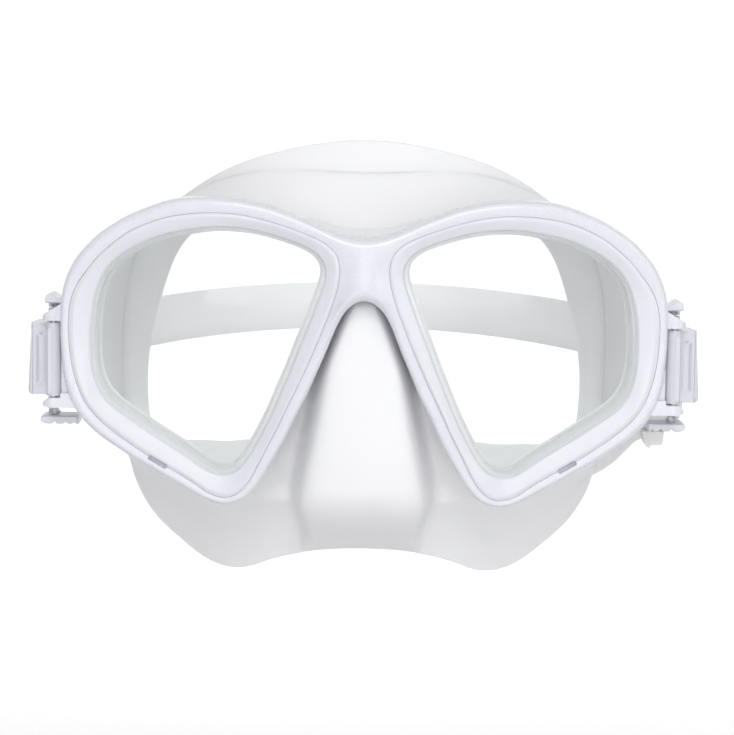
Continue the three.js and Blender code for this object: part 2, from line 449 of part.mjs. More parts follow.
function tab(s) {
  const pts = rounded(s > 0 ? 79.4 : 76.8, 87.3, 21.4, 31.6, 1.8, 3);
  const z = (a, b) => (s > 0 ? [a, b] : [-b, -a]);
  let m = solid(slab(pts, ...z(TAB_Z0, TAB_Z1)));
  m = join(m, rod(BOSS_P, BOSS_Q, ...z(11.4, TAB_Z0 + 0.3), 0.8, 10), rod(PAWL_P - 0.2, PAWL_Q - 0.4, ...z(12.3, TAB_Z0 + 0.3), 0.7, 8));
  return m;
}
function spring(s) {
  const turns = 3, per = 8, pts = [];
  const z0 = 10.35, z1 = 14.75;
  for (let i = 0; i <= turns * per; i++) {
    const a = 2 * Math.PI * i / per, z = z0 + (z1 - z0) * i / (turns * per);
    pts.push(new THREE.Vector3(1.24 * Math.cos(a), 1.24 * Math.sin(a), z));
  }
  const m = 5, r = 0.2, verts = [], faces = [];
  pts.forEach((p, i) => {
    const a = 2 * Math.PI * i / per;
    const R = new THREE.Vector3(Math.cos(a), Math.sin(a), 0);
    for (let k = 0; k < m; k++) { const b = 2 * Math.PI * k / m; verts.push(p.clone().addScaledVector(R, r * Math.cos(b)).addScaledVector(UP, r * Math.sin(b))); }
  });
  for (let i = 0; i + 1 < pts.length; i++) for (let k = 0; k < m; k++) {
    const a = i * m + k, b = i * m + (k + 1) % m;
    faces.push([a, b, b + m], [a, b + m, a + m]);
  }
  for (let k = 1; k + 1 < m; k++) { faces.push([0, k + 1, k]); const o = (pts.length - 1) * m; faces.push([o, o + k, o + k + 1]); }
  if (volume(verts, faces) < 0) for (const x of faces) [x[1], x[2]] = [x[2], x[1]];
  let g = new THREE.BufferGeometry();
  g.setAttribute('position', new THREE.BufferAttribute(new Float32Array(verts.flatMap((v) => [v.x + BOSS_P, v.y + BOSS_Q, v.z])), 3));
  g.setIndex(faces.flat());
  if (s < 0) { g.rotateX(Math.PI); g.translate(0, 2 * BOSS_Q, 0); }
  return g;
}
function pivotPin() {
  return solid(rod(PIVOT_P, PIVOT_Q, PIN_LOW, PIN_TOP, 0.85, 14));
}
function keeper(q, outer) {                  // silicone loop round the strap (and the tail)
  const a = Math.asin((q - STRAP_YC) / STRAP_B);
  const c = strapPoint(a), t = strapPoint(a + 0.02).sub(c).normalize();
  const n = new THREE.Vector3(t.y, -t.x, 0).normalize();      // outwards
  const lo = -STRAP_T / 2 - GAP, hi = outer;
  const h = STRAP_W / 2 + GAP;
  const sh = new THREE.Shape(rounded(lo - 1.3, hi + 1.3, -h - 1.3, h + 1.3, 1.2, 2).map(V2));
  sh.holes.push(new THREE.Path([[lo, -h], [hi, -h], [hi, h], [lo, h]].map(V2)));
  const g = new THREE.ExtrudeGeometry(sh, { depth: 7, steps: 1, bevelEnabled: false, curveSegments: 1 });
  return map(g, (x, y, z) => {
    const p = c.clone().addScaledVector(n, x).addScaledVector(t, 3.5 - z);
    return [p.x, p.y, p.z + y];
  });
}
function tabPad() {                          // soft pad under the right lower tab
  const prof = [[75.4, -18.2], [81.4, -18.2], [81.1, -21.9], [80.7, -22.5], [77.9, -22.6], [77.5, -23.4], [76.6, -22.9], [75.9, -21.6]];
  return prism(prof, 22.6, 30.4);
}

// ------------------------------------------------------------------ assembly
const mat = (color, roughness, metalness = 0) => new THREE.MeshStandardMaterial({ color, roughness, metalness });
const ABS = mat(0xf0f1f9, 0.28), SILICONE = mat(0xefefee, 0.6), GLASS = new THREE.MeshStandardMaterial({ color: 0xeaf4ef, roughness: 0.05, metalness: 0, transparent: true, opacity: 0.35 });
const STEEL = mat(0xc9ccd0, 0.3, 1), BUCKLE = mat(0xecedf6, 0.32);

const mask = new THREE.Group();
mask.name = 'diving_mask';
mask.position.set(0, -SEAL_Y, 0);
function node(name, g, material) {
  const geo = g.isBufferGeometry ? g : geometry(g);
  const mesh = new THREE.Mesh(geo, material);
  mesh.name = name;
  mask.add(mesh);
}
const clean = (g) => geometry(solid(g));

node('main_frame', frameSolid(), ABS);
node('skirt', skirtSolid(), SILICONE);
const ringGeo = geometry(ringSolid), lensGeo = clean(lensG);
node('lens_ring_left', ringGeo, ABS);
node('lens_ring_right', mirrored(ringGeo), ABS);
node('lens_left', lensGeo, GLASS);
node('lens_right', mirrored(lensGeo), GLASS);
node('head_strap', headBand(), SILICONE);
for (const [side, name] of [[-1, 'left'], [1, 'right']]) {
  const put = (label, g, material) => {
    const geo = g.isBufferGeometry ? clean(g) : geometry(g);
    node(label + '_' + name, side < 0 ? mirrored(geo) : geo, material);
  };
  node('strap_end_' + name, strapEnd(side), SILICONE);
  put('buckle_body', buckleBody(), BUCKLE);
  put('buckle_cover', cover(), BUCKLE);
  put('pivot_pin', pivotPin(), STEEL);
  put('strap_roller', rollerTube(), BUCKLE);
  put('roller_axle', rod(ROLL_P, ROLL_Q, -9.6, 9.6, 0.42, 10), STEEL);
  put('ratchet_pawl', pawlSolid(), BUCKLE);
  put('release_tab_upper', tab(1), BUCKLE);
  put('release_tab_lower', tab(-1), BUCKLE);
  put('tab_spring_upper', spring(1), STEEL);
  put('tab_spring_lower', spring(-1), STEEL);
  put('strap_keeper', side < 0 ? keeper(66, 3.3) : keeper(52, STRAP_T / 2 + GAP), SILICONE);
}
node('tab_pad_right', clean(tabPad()), SILICONE);

export default mask;
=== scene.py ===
import bpy, bmesh, math
import numpy as np
from mathutils import Matrix, Vector
from mathutils.geometry import delaunay_2d_cdt


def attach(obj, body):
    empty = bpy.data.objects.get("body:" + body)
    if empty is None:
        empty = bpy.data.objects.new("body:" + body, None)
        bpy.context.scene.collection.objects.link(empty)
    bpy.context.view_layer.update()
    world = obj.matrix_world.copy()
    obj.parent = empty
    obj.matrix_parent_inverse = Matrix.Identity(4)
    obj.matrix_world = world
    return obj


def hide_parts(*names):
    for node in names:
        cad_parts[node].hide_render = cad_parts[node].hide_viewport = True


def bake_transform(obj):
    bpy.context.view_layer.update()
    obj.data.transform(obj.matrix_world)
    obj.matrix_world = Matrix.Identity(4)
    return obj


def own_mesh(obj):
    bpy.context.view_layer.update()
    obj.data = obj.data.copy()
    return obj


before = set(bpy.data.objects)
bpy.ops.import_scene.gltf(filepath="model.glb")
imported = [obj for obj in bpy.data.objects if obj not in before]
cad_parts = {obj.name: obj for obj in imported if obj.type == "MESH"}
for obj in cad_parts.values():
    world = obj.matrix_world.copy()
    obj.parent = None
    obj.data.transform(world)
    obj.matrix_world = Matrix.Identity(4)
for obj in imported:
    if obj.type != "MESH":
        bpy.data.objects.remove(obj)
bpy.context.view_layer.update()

SEAL_Y = 40.0                      # millimetres here, x right, y back, z up; row frame is y - 40 in metres
rad = math.radians

# =========================================================================== camera
def camera():
    cam = bpy.data.cameras.new("camera")
    cam.sensor_width = 36.0
    cam.lens = 2682.0 * 36.0 / 735.0
    cam.clip_start, cam.clip_end = 0.01, 50
    cam.dof.use_dof = False
    o = bpy.data.objects.new("camera", cam)
    bpy.context.scene.collection.objects.link(o)
    e, roll = rad(6.0), rad(0.75)
    F = Vector((0, math.cos(e), -math.sin(e)))
    U = Vector((0, math.sin(e), math.cos(e)))
    R = Vector((1, 0, 0))
    R2 = R * math.cos(roll) + U * math.sin(roll)
    U2 = U * math.cos(roll) - R * math.sin(roll)
    m = Matrix((R2, U2, -F)).transposed().to_4x4()
    m.translation = Vector((0.0009, -0.040, 0.0)) - F * 0.700
    o.matrix_world = m
    bpy.context.scene.camera = o
camera()

# =========================================================================== tables (same as the CAD part)
FRAME_OUT = [[0,33.4],[-4.3,34],[-8.5,35.1],[-12.6,36.8],[-16.6,38.5],[-20.7,40.1],[-24.8,41.5],[-29.1,42.5],[-33.4,43.2],[-37.8,43.6],[-42.1,43.7],[-46.5,43.5],[-50.8,42.9],[-55,41.6],[-59.1,40],[-63.1,38.2],[-66.8,35.9],[-70.4,33.4],[-73.5,30.3],[-76.3,26.9],[-78.3,23],[-79.6,18.9],[-80.1,14.5],[-80.2,10.1],[-80.2,5.8],[-79.9,1.4],[-79.5,-3],[-78.7,-7.3],[-77.3,-11.4],[-75,-15.1],[-72,-18.3],[-68.6,-21],[-64.9,-23.4],[-61.2,-25.7],[-57.3,-27.8],[-53.5,-29.9],[-49.7,-32],[-45.8,-34.1],[-42,-36.1],[-37.8,-37.5],[-33.5,-37.1],[-29.9,-34.9],[-27.1,-31.5],[-24.8,-27.8],[-22.6,-24],[-20.5,-20.2],[-18.7,-16.2],[-16.8,-12.2],[-14.9,-8.3],[-13.2,-4.3],[-11.5,-0.2],[-9.8,3.8],[-8.2,7.9],[-6.4,11.9],[-3.9,15.4],[0,17.2]]
SEAM = [[-77.8,4.0],[-77.1,-1.2],[-75.8,-6.2],[-73.7,-11.0],[-70.4,-15.1],[-66.5,-18.4],[-62.2,-21.5],[-57.9,-24.3],[-53.4,-27.0],[-48.8,-29.5],[-44.3,-32.2],[-40.0,-35.0],[-34.9,-35.6],[-30.8,-32.5],[-28.1,-28.0],[-25.8,-23.3],[-23.4,-18.7],[-21.2,-14.0],[-19.0,-9.3],[-16.7,-4.5],[-14.6,0.2],[-12.5,5.0],[-10.6,9.9],[-8.7,14.7],[-7.2,19.7],[-6.4,24.9],[-7.6,29.8],[-11.7,33.0],[-16.5,35.0],[-21.4,36.7],[-26.4,38.1],[-31.5,39.2],[-36.7,39.7],[-41.9,39.7],[-47.1,39.2],[-52.3,38.3],[-57.2,36.6],[-61.9,34.4],[-66.1,31.3],[-70.0,27.8],[-73.3,23.7],[-76.1,19.4],[-77.7,14.4],[-78.0,9.2]]
WINDOW = [[-71.9,4.0],[-71.6,-1.0],[-70.5,-5.8],[-68.0,-10.1],[-64.2,-13.3],[-60.1,-16.1],[-55.9,-18.9],[-51.7,-21.5],[-47.5,-24.1],[-43.3,-26.9],[-39.0,-29.3],[-34.2,-28.8],[-30.7,-25.3],[-28.2,-21.0],[-25.9,-16.6],[-23.8,-12.0],[-21.9,-7.4],[-20.0,-2.8],[-18.2,1.8],[-16.4,6.5],[-14.5,11.1],[-12.8,15.8],[-11.1,20.5],[-10.4,25.4],[-13.0,29.4],[-17.4,31.7],[-22.1,33.3],[-27.0,34.6],[-31.9,35.4],[-36.8,35.7],[-41.8,35.5],[-46.7,34.7],[-51.6,33.7],[-56.3,32.1],[-60.8,29.9],[-64.9,27.1],[-68.2,23.3],[-70.2,18.8],[-71.3,13.9],[-71.8,9.0]]
ROOT = [[-34.5,-35.2],[-42,-34],[-50,-29.5],[-58,-25],[-66,-20],[-72.6,-12.5],[-75.3,-3],[-75.7,8],[-74,20],[-68.5,29.6],[-60,36],[-50,39.4],[-38,40.6],[-26,39],[-14,34.8],[0,31.2]]
EDGE = [[-33,-60.4,40],[-42.2,-59.1,43],[-50.9,-53.4,47],[-58.5,-47,50.5],[-65,-36,55],[-67.2,-22,60],[-67.7,-8,62.3],[-67.5,4,62.5],[-66,17,59.5],[-62,28.5,53],[-54.5,38.5,45.5],[-46,45.5,40],[-36,51,35.6],[-25,54.7,32.7],[-13,57.2,30.7],[0,58.3,30]]
FLAP = [[-27,-27,43],[-36,-26.3,46],[-45.7,-26.3,49.5],[-54,-26.8,52],[-59.3,-24.5,54.5],[-61.2,-16,57.3],[-61.4,-6.3,58.5],[-60,3.8,58],[-57,15,55],[-53,25.5,47.5],[-47.5,32.8,40.5],[-40,38,36],[-31,42.3,33.3],[-21,44.8,31.3],[-10.5,46,30.2],[0,46.2,29.8]]
FLAP_V = [0.6,0.6,0.62,0.66,0.76,0.82,0.83,0.83,0.82,0.8,0.78,0.76,0.74,0.72,0.7,0.7]
NOSE = [[16.0,5.7,2.6,5.4,0.2],[14,7.0,3.7,4.5,0.4],[11,8.7,5.0,3.9,0.9],[7.5,10.1,6.3,3.3,1.4],[4,11.5,7.6,2.7,2.0],[0,13.2,9.0,2.0,3.0],[-5,15.3,10.2,0.6,4.0],[-10,17.5,11.2,-0.9,5.0],[-15,19.9,12.2,-2.6,6.0],[-20,22.2,13.3,-3.9,6.6],[-25,25.0,14.4,-4.8,7.2],[-30,27.9,15.5,-5.0,7.6],[-34,34.5,16.3,-4.6,8.0]]
CHIN = [[-38,16.3,-2.0,23.5],[-41,15.6,1.4,25.2],[-43.8,14.6,6.8,27],[-47,14,15,29],[-50.3,14,24,31],[-53.5,14,32.5,32.5]]
VROWS = [0, 0.16, 0.34, 0.54, 0.72, 0.87, 1]
T6 = math.tan(rad(6.0))
CEN = np.array([-40.0, 4.0])

def warp(x, z):                    # the lens planes sweep back 6 degrees and lean; rounded over at the bridge
    a = np.abs(x)
    return T6 * np.where(a < 6.0, a * a / 12.0 + 3.0, a) - 0.05 * z

# =========================================================================== loops and lofts
def dense(points, n):
    """Even, slightly smoothed samples of a smooth closed loop through the points."""
    P = np.asarray(points, float)
    m = len(P)
    u = []
    for i in range(m):
        p0, p1, p2, p3 = P[i - 1], P[i], P[(i + 1) % m], P[(i + 2) % m]
        for t in np.arange(12) / 12.0:
            u.append(0.5 * ((2 * p1) + (p2 - p0) * t + (2 * p0 - 5 * p1 + 4 * p2 - p3) * t * t + (3 * p1 - p0 - 3 * p2 + p3) * t ** 3))
    return even(np.array(u), n)

def even(P, n):
    Q = np.vstack([P, P[:1]])
    s = np.concatenate([[0], np.cumsum(np.linalg.norm(np.diff(Q, axis=0), axis=1))])
    t = np.arange(n) * s[-1] / n
    return np.stack([np.interp(t, s, Q[:, k]) for k in range(Q.shape[1])], 1)

def lowpass(P, sigma):
    """Takes the tremor out of an even closed loop without shrinking it (sigma in millimetres)."""
    n = len(P)
    L = np.linalg.norm(np.roll(P, -1, 0) - P, axis=1).sum()
    f = np.fft.fftfreq(n, d=L / n)
    g = np.exp(-((2 * np.pi * f * sigma) ** 2) / 2)
    h = (2 * g - g * g)[:, None]
    return np.real(np.fft.ifft(np.fft.fft(P, axis=0) * h, axis=0))

def normals2(P):
    d = np.roll(P, -1, 0) - np.roll(P, 1, 0)
    n = np.stack([d[:, 1], -d[:, 0]], 1) / np.linalg.norm(d, axis=1)[:, None]
    area = np.sum(P[:, 0] * np.roll(P[:, 1], -1) - np.roll(P[:, 0], -1) * P[:, 1])
    return n if area > 0 else -n

def grow(P, d):
    """Offset of a closed loop; + grows it."""
    d = np.asarray(d)
    return P + normals2(P) * (d[:, None] if d.ndim else d)

def polar(P, th):
    """Loop points at given angles round the lens centre."""
    d = P - CEN
    a, r = np.arctan2(d[:, 1], d[:, 0]), np.hypot(d[:, 0], d[:, 1])
    o = np.argsort(a)
    R = np.interp(th, a[o], r[o], period=2 * np.pi)
    return CEN + np.stack([np.cos(th), np.sin(th)], 1) * R[:, None]

def lift(P, y):
    """x-z loop at local depth y on the swept lens plane."""
    P = np.asarray(P, float)
    return np.stack([P[:, 0], y + warp(P[:, 0], P[:, 1]), P[:, 1]], 1)

def flat3(P, y):
    P = np.asarray(P, float)
    return np.stack([P[:, 0], np.full(len(P), float(y)), P[:, 1]], 1)

class Build:
    """Collects vertices and faces in millimetres."""
    def __init__(self):
        self.v, self.f, self.n = [], [], 0
    def add(self, P):
        P = np.asarray(P, float).reshape(-1, 3)
        self.v.append(P)
        self.n += len(P)
        return np.arange(self.n - len(P), self.n)
    def strip(self, a, b, close=True):
        m = len(a)
        for i in range(m if close else m - 1):
            j = (i + 1) % m
            self.f.append((a[i], a[j], b[j], b[i]))
    def loft(self, rows, closed=True, ring=False):
        ids = [self.add(r) for r in rows]
        for a, b in zip(ids, ids[1:]):
            self.strip(a, b, closed)
        if ring:
            self.strip(ids[-1], ids[0], closed)
        return ids
    def cap(self, a, flip=False):
        self.f.append(tuple(a[::-1]) if flip else tuple(a))
    def solid(self, rows):
        ids = self.loft(rows)
        self.cap(ids[0], True)
        self.cap(ids[-1])
        return ids
    def done(self):
        return np.vstack(self.v), self.f

def volume(v, faces):
    s = 0.0
    for f in faces:
        a = v[f[0]]
        for k in range(1, len(f) - 1):
            s += np.dot(a, np.cross(v[f[k]], v[f[k + 1]]))
    return s / 6

def inside(P, loop):
    """Which points lie inside a closed loop."""
    x, y = P[:, 0][:, None], P[:, 1][:, None]
    a, b = loop, np.roll(loop, -1, 0)
    c = ((a[:, 1] > y) != (b[:, 1] > y))
    with np.errstate(divide="ignore", invalid="ignore"):
        xi = (b[:, 0] - a[:, 0]) * (y - a[:, 1]) / (b[:, 1] - a[:, 1]) + a[:, 0]
    return (c & (x < xi)).sum(1) % 2 == 1

def fill(outer, holes, step, margin):
    """Triangles between closed loops, with inner points on a hex grid. Returns points (loops first) and triangles."""
    loops = [outer] + list(holes)
    B = np.vstack(loops)
    lo, hi = outer.min(0), outer.max(0)
    g, r = [], 0
    z = lo[1]
    while z < hi[1]:
        xs = np.arange(-step * 80, step * 80, step) + (step / 2 if r % 2 else 0)
        xs = xs[(xs > lo[0]) & (xs < hi[0])]
        g.append(np.stack([xs, np.full(len(xs), z)], 1))
        z += step * 0.866
        r += 1
    G = np.vstack(g)
    keep = inside(G, outer)
    for h in holes:
        keep &= ~inside(G, h)
    G = G[keep]
    dist = np.array([np.min(np.hypot(*(B - p).T)) for p in G])
    G = G[dist > margin]
    P = np.vstack([B, G])
    edges, o = [], 0
    for l in loops:
        m = len(l)
        edges += [(o + i, o + (i + 1) % m) for i in range(m)]
        o += m
    vs, _, fs, orig, _, _ = delaunay_2d_cdt([Vector(p) for p in P.tolist()], edges, [], 0, 1e-7)
    assert len(vs) == len(P), "loops cross"
    remap = [o[0] for o in orig]
    T = np.array([[remap[i] for i in f] for f in fs])
    C = P[T].mean(1)
    keep = inside(C, outer)
    for h in holes:
        keep &= ~inside(C, h)
    T = T[keep]
    a = P[T]
    s = (a[:, 1, 0] - a[:, 0, 0]) * (a[:, 2, 1] - a[:, 0, 1]) - (a[:, 1, 1] - a[:, 0, 1]) * (a[:, 2, 0] - a[:, 0, 0])
    T[s < 0] = T[s < 0][:, ::-1]
    return P, T

def swell(P, T, fixed):
    """A membrane over the triangles, zero at the first `fixed` points: how far each point is from every edge, smoothly."""
    n = len(P)
    W = np.zeros((n, n))
    area = np.zeros(n)
    for t in T:
        p = P[t]
        A = abs(np.cross(p[1] - p[0], p[2] - p[0])) / 2
        area[t] += A / 3
        for k in range(3):
            i, j, o = t[k], t[(k + 1) % 3], t[(k + 2) % 3]
            u, w = P[i] - P[o], P[j] - P[o]
            c = np.dot(u, w) / max(abs(np.cross(u, w)), 1e-9) / 2
            c = max(c, 0.01)
            W[i, j] += c
            W[j, i] += c
    L = np.diag(W.sum(1)) - W
    k = np.arange(fixed, n)
    u = np.zeros(n)
    if len(k):
        u[k] = np.linalg.solve(L[np.ix_(k, k)], area[k])
    return u

# =========================================================================== Catmull-Clark, kept near its own net
def subdivide(X, faces):
    X = np.asarray(X, float)
    lens = np.array([len(f) for f in faces])
    loop = np.concatenate([np.asarray(f) for f in faces])
    start = np.concatenate([[0], np.cumsum(lens)[:-1]])
    nxt = np.arange(len(loop)) + 1
    nxt[start + lens - 1] = start
    prv = np.empty_like(nxt)
    prv[nxt] = np.arange(len(loop))
    face = np.repeat(np.arange(len(faces)), lens)
    N, c = X.shape
    F = np.add.reduceat(X[loop], start, axis=0) / lens[:, None]
    a, b = loop, loop[nxt]
    key = np.minimum(a, b).astype(np.int64) * N + np.maximum(a, b)
    uk, inv = np.unique(key, return_inverse=True)
    e0, e1 = uk // N, uk % N
    cnt = np.bincount(inv)
    sumF = np.zeros((len(uk), c))
    np.add.at(sumF, inv, F[face])
    mid = (X[e0] + X[e1]) / 2
    inner = cnt == 2
    E = np.where(inner[:, None], (2 * mid + sumF) / 4, mid)
    val = np.bincount(np.concatenate([e0, e1]), minlength=N).astype(float)
    Q = np.zeros((N, c)); qn = np.bincount(loop, minlength=N).astype(float)
    np.add.at(Q, loop, F[face])
    R = np.zeros((N, c))
    np.add.at(R, e0, mid); np.add.at(R, e1, mid)
    val[val == 0] = 1; qn[qn == 0] = 1
    n_ = val[:, None]
    V = (Q / qn[:, None] + 2 * R / n_ + (n_ - 3) * X) / n_
    bd = ~inner
    if bd.any():
        S = np.zeros((N, c)); k = np.zeros(N)
        np.add.at(S, e0[bd], X[e1[bd]]); np.add.at(S, e1[bd], X[e0[bd]])
        np.add.at(k, e0[bd], 1); np.add.at(k, e1[bd], 1)
        on = k > 0
        V[on] = 0.75 * X[on] + 0.25 * S[on] / k[on][:, None]
    out = np.vstack([V, E, F])
    quads = np.stack([loop, N + inv, N + len(uk) + face, N + inv[prv]], 1)
    return out, quads

def surface(X, faces, levels, pull=3, weight=0.85):
    """Smooth surface from a net; the net is first pushed out so that the surface runs through it."""
    X = np.asarray(X, float)
    P = X.copy()
    for _ in range(pull):
        Y, q = subdivide(P, faces)
        Y, q = subdivide(Y, q)
        P = P + weight * (X - Y[:len(X)])
    Y, q = P, faces
    for _ in range(levels):
        Y, q = subdivide(Y, q)
    return Y, q

def vnormals(v, q):
    q = np.asarray(q)
    n = np.cross(v[q[:, 2]] - v[q[:, 0]], v[q[:, 3]] - v[q[:, 1]])
    N = np.zeros_like(v)
    for k in range(4):
        np.add.at(N, q[:, k], n)
    return N / np.maximum(np.linalg.norm(N, axis=1), 1e-12)[:, None]

def borders(q):
    """Open edge loops of a quad sheet, each a list of vertex indices in face order."""
    q = np.asarray(q)
    a = q.ravel(); b = np.roll(q, -1, 1).ravel()
    have = set(zip(b.tolist(), a.tolist()))
    nx = {i: j for i, j in zip(a.tolist(), b.tolist()) if (i, j) not in have}
    loops = []
    while nx:
        s = next(iter(nx)); l = [s]; c = nx.pop(s)
        while c != s:
            l.append(c); c = nx.pop(c)
        loops.append(l)
    return loops

def shell(v, q, t, rim=5):
    """Closed body from a sheet: grown t inwards (against the normals), with a round rim on every open edge."""
    n = vnormals(v, q)
    t = np.broadcast_to(t, len(v))
    N = len(v)
    B = Build()
    B.add(v); B.add(v - n * t[:, None])
    B.f += [tuple(x) for x in q.tolist()]
    B.f += [(x[0] + N, x[3] + N, x[2] + N, x[1] + N) for x in q.tolist()]
    for l in borders(q):
        l = np.array(l)
        P = v[l]
        tan = np.roll(P, -1, 0) - np.roll(P, 1, 0)
        tan /= np.linalg.norm(tan, axis=1)[:, None]
        out = np.cross(tan, n[l])
        out /= np.linalg.norm(out, axis=1)[:, None]
        M = P - n[l] * (t[l] / 2)[:, None]
        rows = [l]
        for k in range(1, rim):
            a = math.pi * k / rim
            rows.append(B.add(M + n[l] * (t[l] / 2 * math.cos(a))[:, None] + out * (t[l] / 2 * math.sin(a) * 0.9)[:, None]))
        rows.append(l + N)
        for a, b in zip(rows, rows[1:]):
            B.strip(b, a)
    return B.done()

# =========================================================================== objects and materials
MATS = {}
def nodes_of(name):
    m = bpy.data.materials.new(name)
    m.use_nodes = True
    nt = m.node_tree
    nt.nodes.clear()
    return m, nt

class Net:
    def __init__(self, nt):
        self.nt = nt
    def __call__(self, kind, **k):
        n = self.nt.nodes.new(kind)
        ins = k.pop("ins", {})
        for a, b in k.items():
            setattr(n, a, b)
        for a, b in ins.items():
            s = n.inputs[a]
            if isinstance(b, bpy.types.NodeSocket):
                self.nt.links.new(b, s)
            else:
                s.default_value = b
        return n
    def link(self, a, b):
        self.nt.links.new(a, b)

def noise(N, vec, scale, detail=3.0, rough=0.5):
    return N("ShaderNodeTexNoise", ins={"Vector": vec, "Scale": scale, "Detail": detail, "Roughness": rough}).outputs["Fac"]

def remap(N, x, lo, hi, a=0.0, b=1.0):
    return N("ShaderNodeMapRange", ins={"Value": x, "From Min": lo, "From Max": hi, "To Min": a, "To Max": b}).outputs["Result"]

def mixc(N, f, a, b):
    n = N("ShaderNodeMix", data_type="RGBA")
    for s, val in ((n.inputs[0], f), (n.inputs[6], a), (n.inputs[7], b)):
        if isinstance(val, bpy.types.NodeSocket):
            N.link(val, s)
        else:
            s.default_value = val
    return n.outputs[2]

def moulded(name, base, rough, coat=0.0, grain=0.0, grain_scale=2500.0, vary=0.02, wave=0.0, sss=0.0, spec=0.5, metal=0.0, tint=(1, 1, 1), brushed=False, cloud=1.0):
    """Moulded plastic, silicone or steel: slow colour drift, finger-smoothed roughness, fine grain and slight mould flow in the bump."""
    m, nt = nodes_of(name)
    N = Net(nt)
    tc = N("ShaderNodeTexCoord").outputs["Object"]
    drift = noise(N, tc, 22.0, 4.0, 0.55)
    patch = noise(N, tc, 130.0, 5.0, 0.6)
    fine = noise(N, tc, grain_scale, 2.0, 0.6)
    lo = tuple(max(0.0, c * (1 - vary)) for c in base) + (1,)
    hi = tuple(min(1.0, c * (1 + vary) * t) for c, t in zip(base, tint)) + (1,)
    col = mixc(N, remap(N, drift, 0.3, 0.7), lo, hi)
    col = mixc(N, remap(N, patch, 0.55, 0.8, 0.0, 0.35), col, tuple(c * (1 - vary * 1.6) for c in base) + (1,))
    r = N("ShaderNodeMath", operation="ADD", ins={0: remap(N, patch, 0.3, 0.7, -0.05 * cloud, 0.05 * cloud), 1: rough})
    r2 = N("ShaderNodeMath", operation="ADD", use_clamp=True, ins={0: r.outputs[0], 1: remap(N, fine, 0.2, 0.8, -0.03, 0.03)})
    vec = tc
    if brushed:
        vec = N("ShaderNodeMapping", ins={"Vector": tc, "Scale": (1.0, 1.0, 0.04)}).outputs[0]
        fine = noise(N, vec, 9000.0, 2.0, 0.5)
    b1 = N("ShaderNodeBump", ins={"Height": fine, "Strength": min(1.0, grain), "Distance": 2.0e-5})
    flow = noise(N, tc, 24.0, 1.0, 0.4)
    b2 = N("ShaderNodeBump", ins={"Height": flow, "Strength": wave, "Distance": 2.5e-4, "Normal": b1.outputs[0]})
    p = N("ShaderNodeBsdfPrincipled", ins={"Base Color": col, "Roughness": r2.outputs[0], "Normal": b2.outputs[0], "Coat Weight": coat,
          "Coat Roughness": 0.08, "Specular IOR Level": spec, "Metallic": metal, "Subsurface Weight": sss, "Subsurface Scale": 0.0026})
    p.inputs["Subsurface Radius"].default_value = (1.0, 0.95, 0.9)
    out = N("ShaderNodeOutputMaterial", ins={"Surface": p.outputs[0]})
    MATS[name] = m
    return m

def glass(name, tint, gloss=0.02, ior=1.5, haze=0.0):
    m, nt = nodes_of(name)
    N = Net(nt)
    tc = N("ShaderNodeTexCoord").outputs["Object"]
    smear = noise(N, tc, 60.0, 5.0, 0.6)
    rgh = remap(N, smear, 0.35, 0.75, gloss, gloss + 0.06)
    flow = noise(N, tc, 35.0, 2.0, 0.4)
    bump = N("ShaderNodeBump", ins={"Height": flow, "Strength": 0.05, "Distance": 1e-4})
    col = mixc(N, remap(N, smear, 0.3, 0.8), tuple(tint) + (1,), tuple(c * 0.992 for c in tint) + (1,))
    tr = N("ShaderNodeBsdfTransparent", ins={"Color": col})
    gl = N("ShaderNodeBsdfGlossy", ins={"Color": (1, 1, 1, 1), "Roughness": rgh, "Normal": bump.outputs[0]})
    facing = N("ShaderNodeLayerWeight", ins={"Blend": 0.5, "Normal": bump.outputs[0]}).outputs["Facing"]
    f0 = ((ior - 1) / (ior + 1)) ** 2                # the same share of reflection on both faces of the pane
    rim = N("ShaderNodeMath", operation="POWER", ins={0: facing, 1: 5.0})
    fac = N("ShaderNodeMath", operation="MULTIPLY_ADD", use_clamp=True, ins={0: rim.outputs[0], 1: 1 - f0, 2: f0 + haze})
    mx = N("ShaderNodeMixShader", ins={0: fac.outputs[0], 1: tr.outputs[0], 2: gl.outputs[0]})
    N("ShaderNodeOutputMaterial", ins={"Surface": mx.outputs[0]})
    MATS[name] = m
    return m

PLASTIC = moulded("frame_abs", (0.765, 0.77, 0.825), 0.27, coat=0.35, grain=0.03, wave=0.02, vary=0.012, cloud=0.35)
RINGS = moulded("ring_abs", (0.765, 0.77, 0.822), 0.24, coat=0.4, grain=0.03, wave=0.02, vary=0.012, cloud=0.35)
TABS = moulded("tab_abs", (0.775, 0.78, 0.83), 0.34, coat=0.15, grain=0.35, grain_scale=3200.0, wave=0.03, vary=0.02, cloud=0.6)
BUCKLE = moulded("buckle_abs", (0.67, 0.675, 0.725), 0.34, coat=0.15, grain=0.35, grain_scale=3200.0, wave=0.03, vary=0.02, cloud=0.6)
SILICONE = moulded("silicone", (0.852, 0.852, 0.858), 0.52, grain=0.45, grain_scale=2600.0, wave=0.06, vary=0.012, sss=0.35, spec=0.35)
STRAP = moulded("strap_silicone", (0.865, 0.865, 0.87), 0.55, grain=0.6, grain_scale=2200.0, wave=0.08, vary=0.02, sss=0.10, spec=0.35)
WARM = moulded("pad_silicone", (0.82, 0.815, 0.79), 0.55, grain=0.6, grain_scale=2200.0, wave=0.08, vary=0.02, sss=0.12, spec=0.35)
STEEL = moulded("stainless", (0.62, 0.63, 0.65), 0.26, grain=0.6, wave=0.02, vary=0.05, metal=1.0, brushed=True)
GLASS = glass("tempered_glass", (0.990, 0.998, 0.994), ior=1.3)
GLASS_EDGE = moulded("ground_glass", (0.82, 0.842, 0.84), 0.32, coat=0.5, grain=0.3, wave=0.05, vary=0.015, sss=0.05)

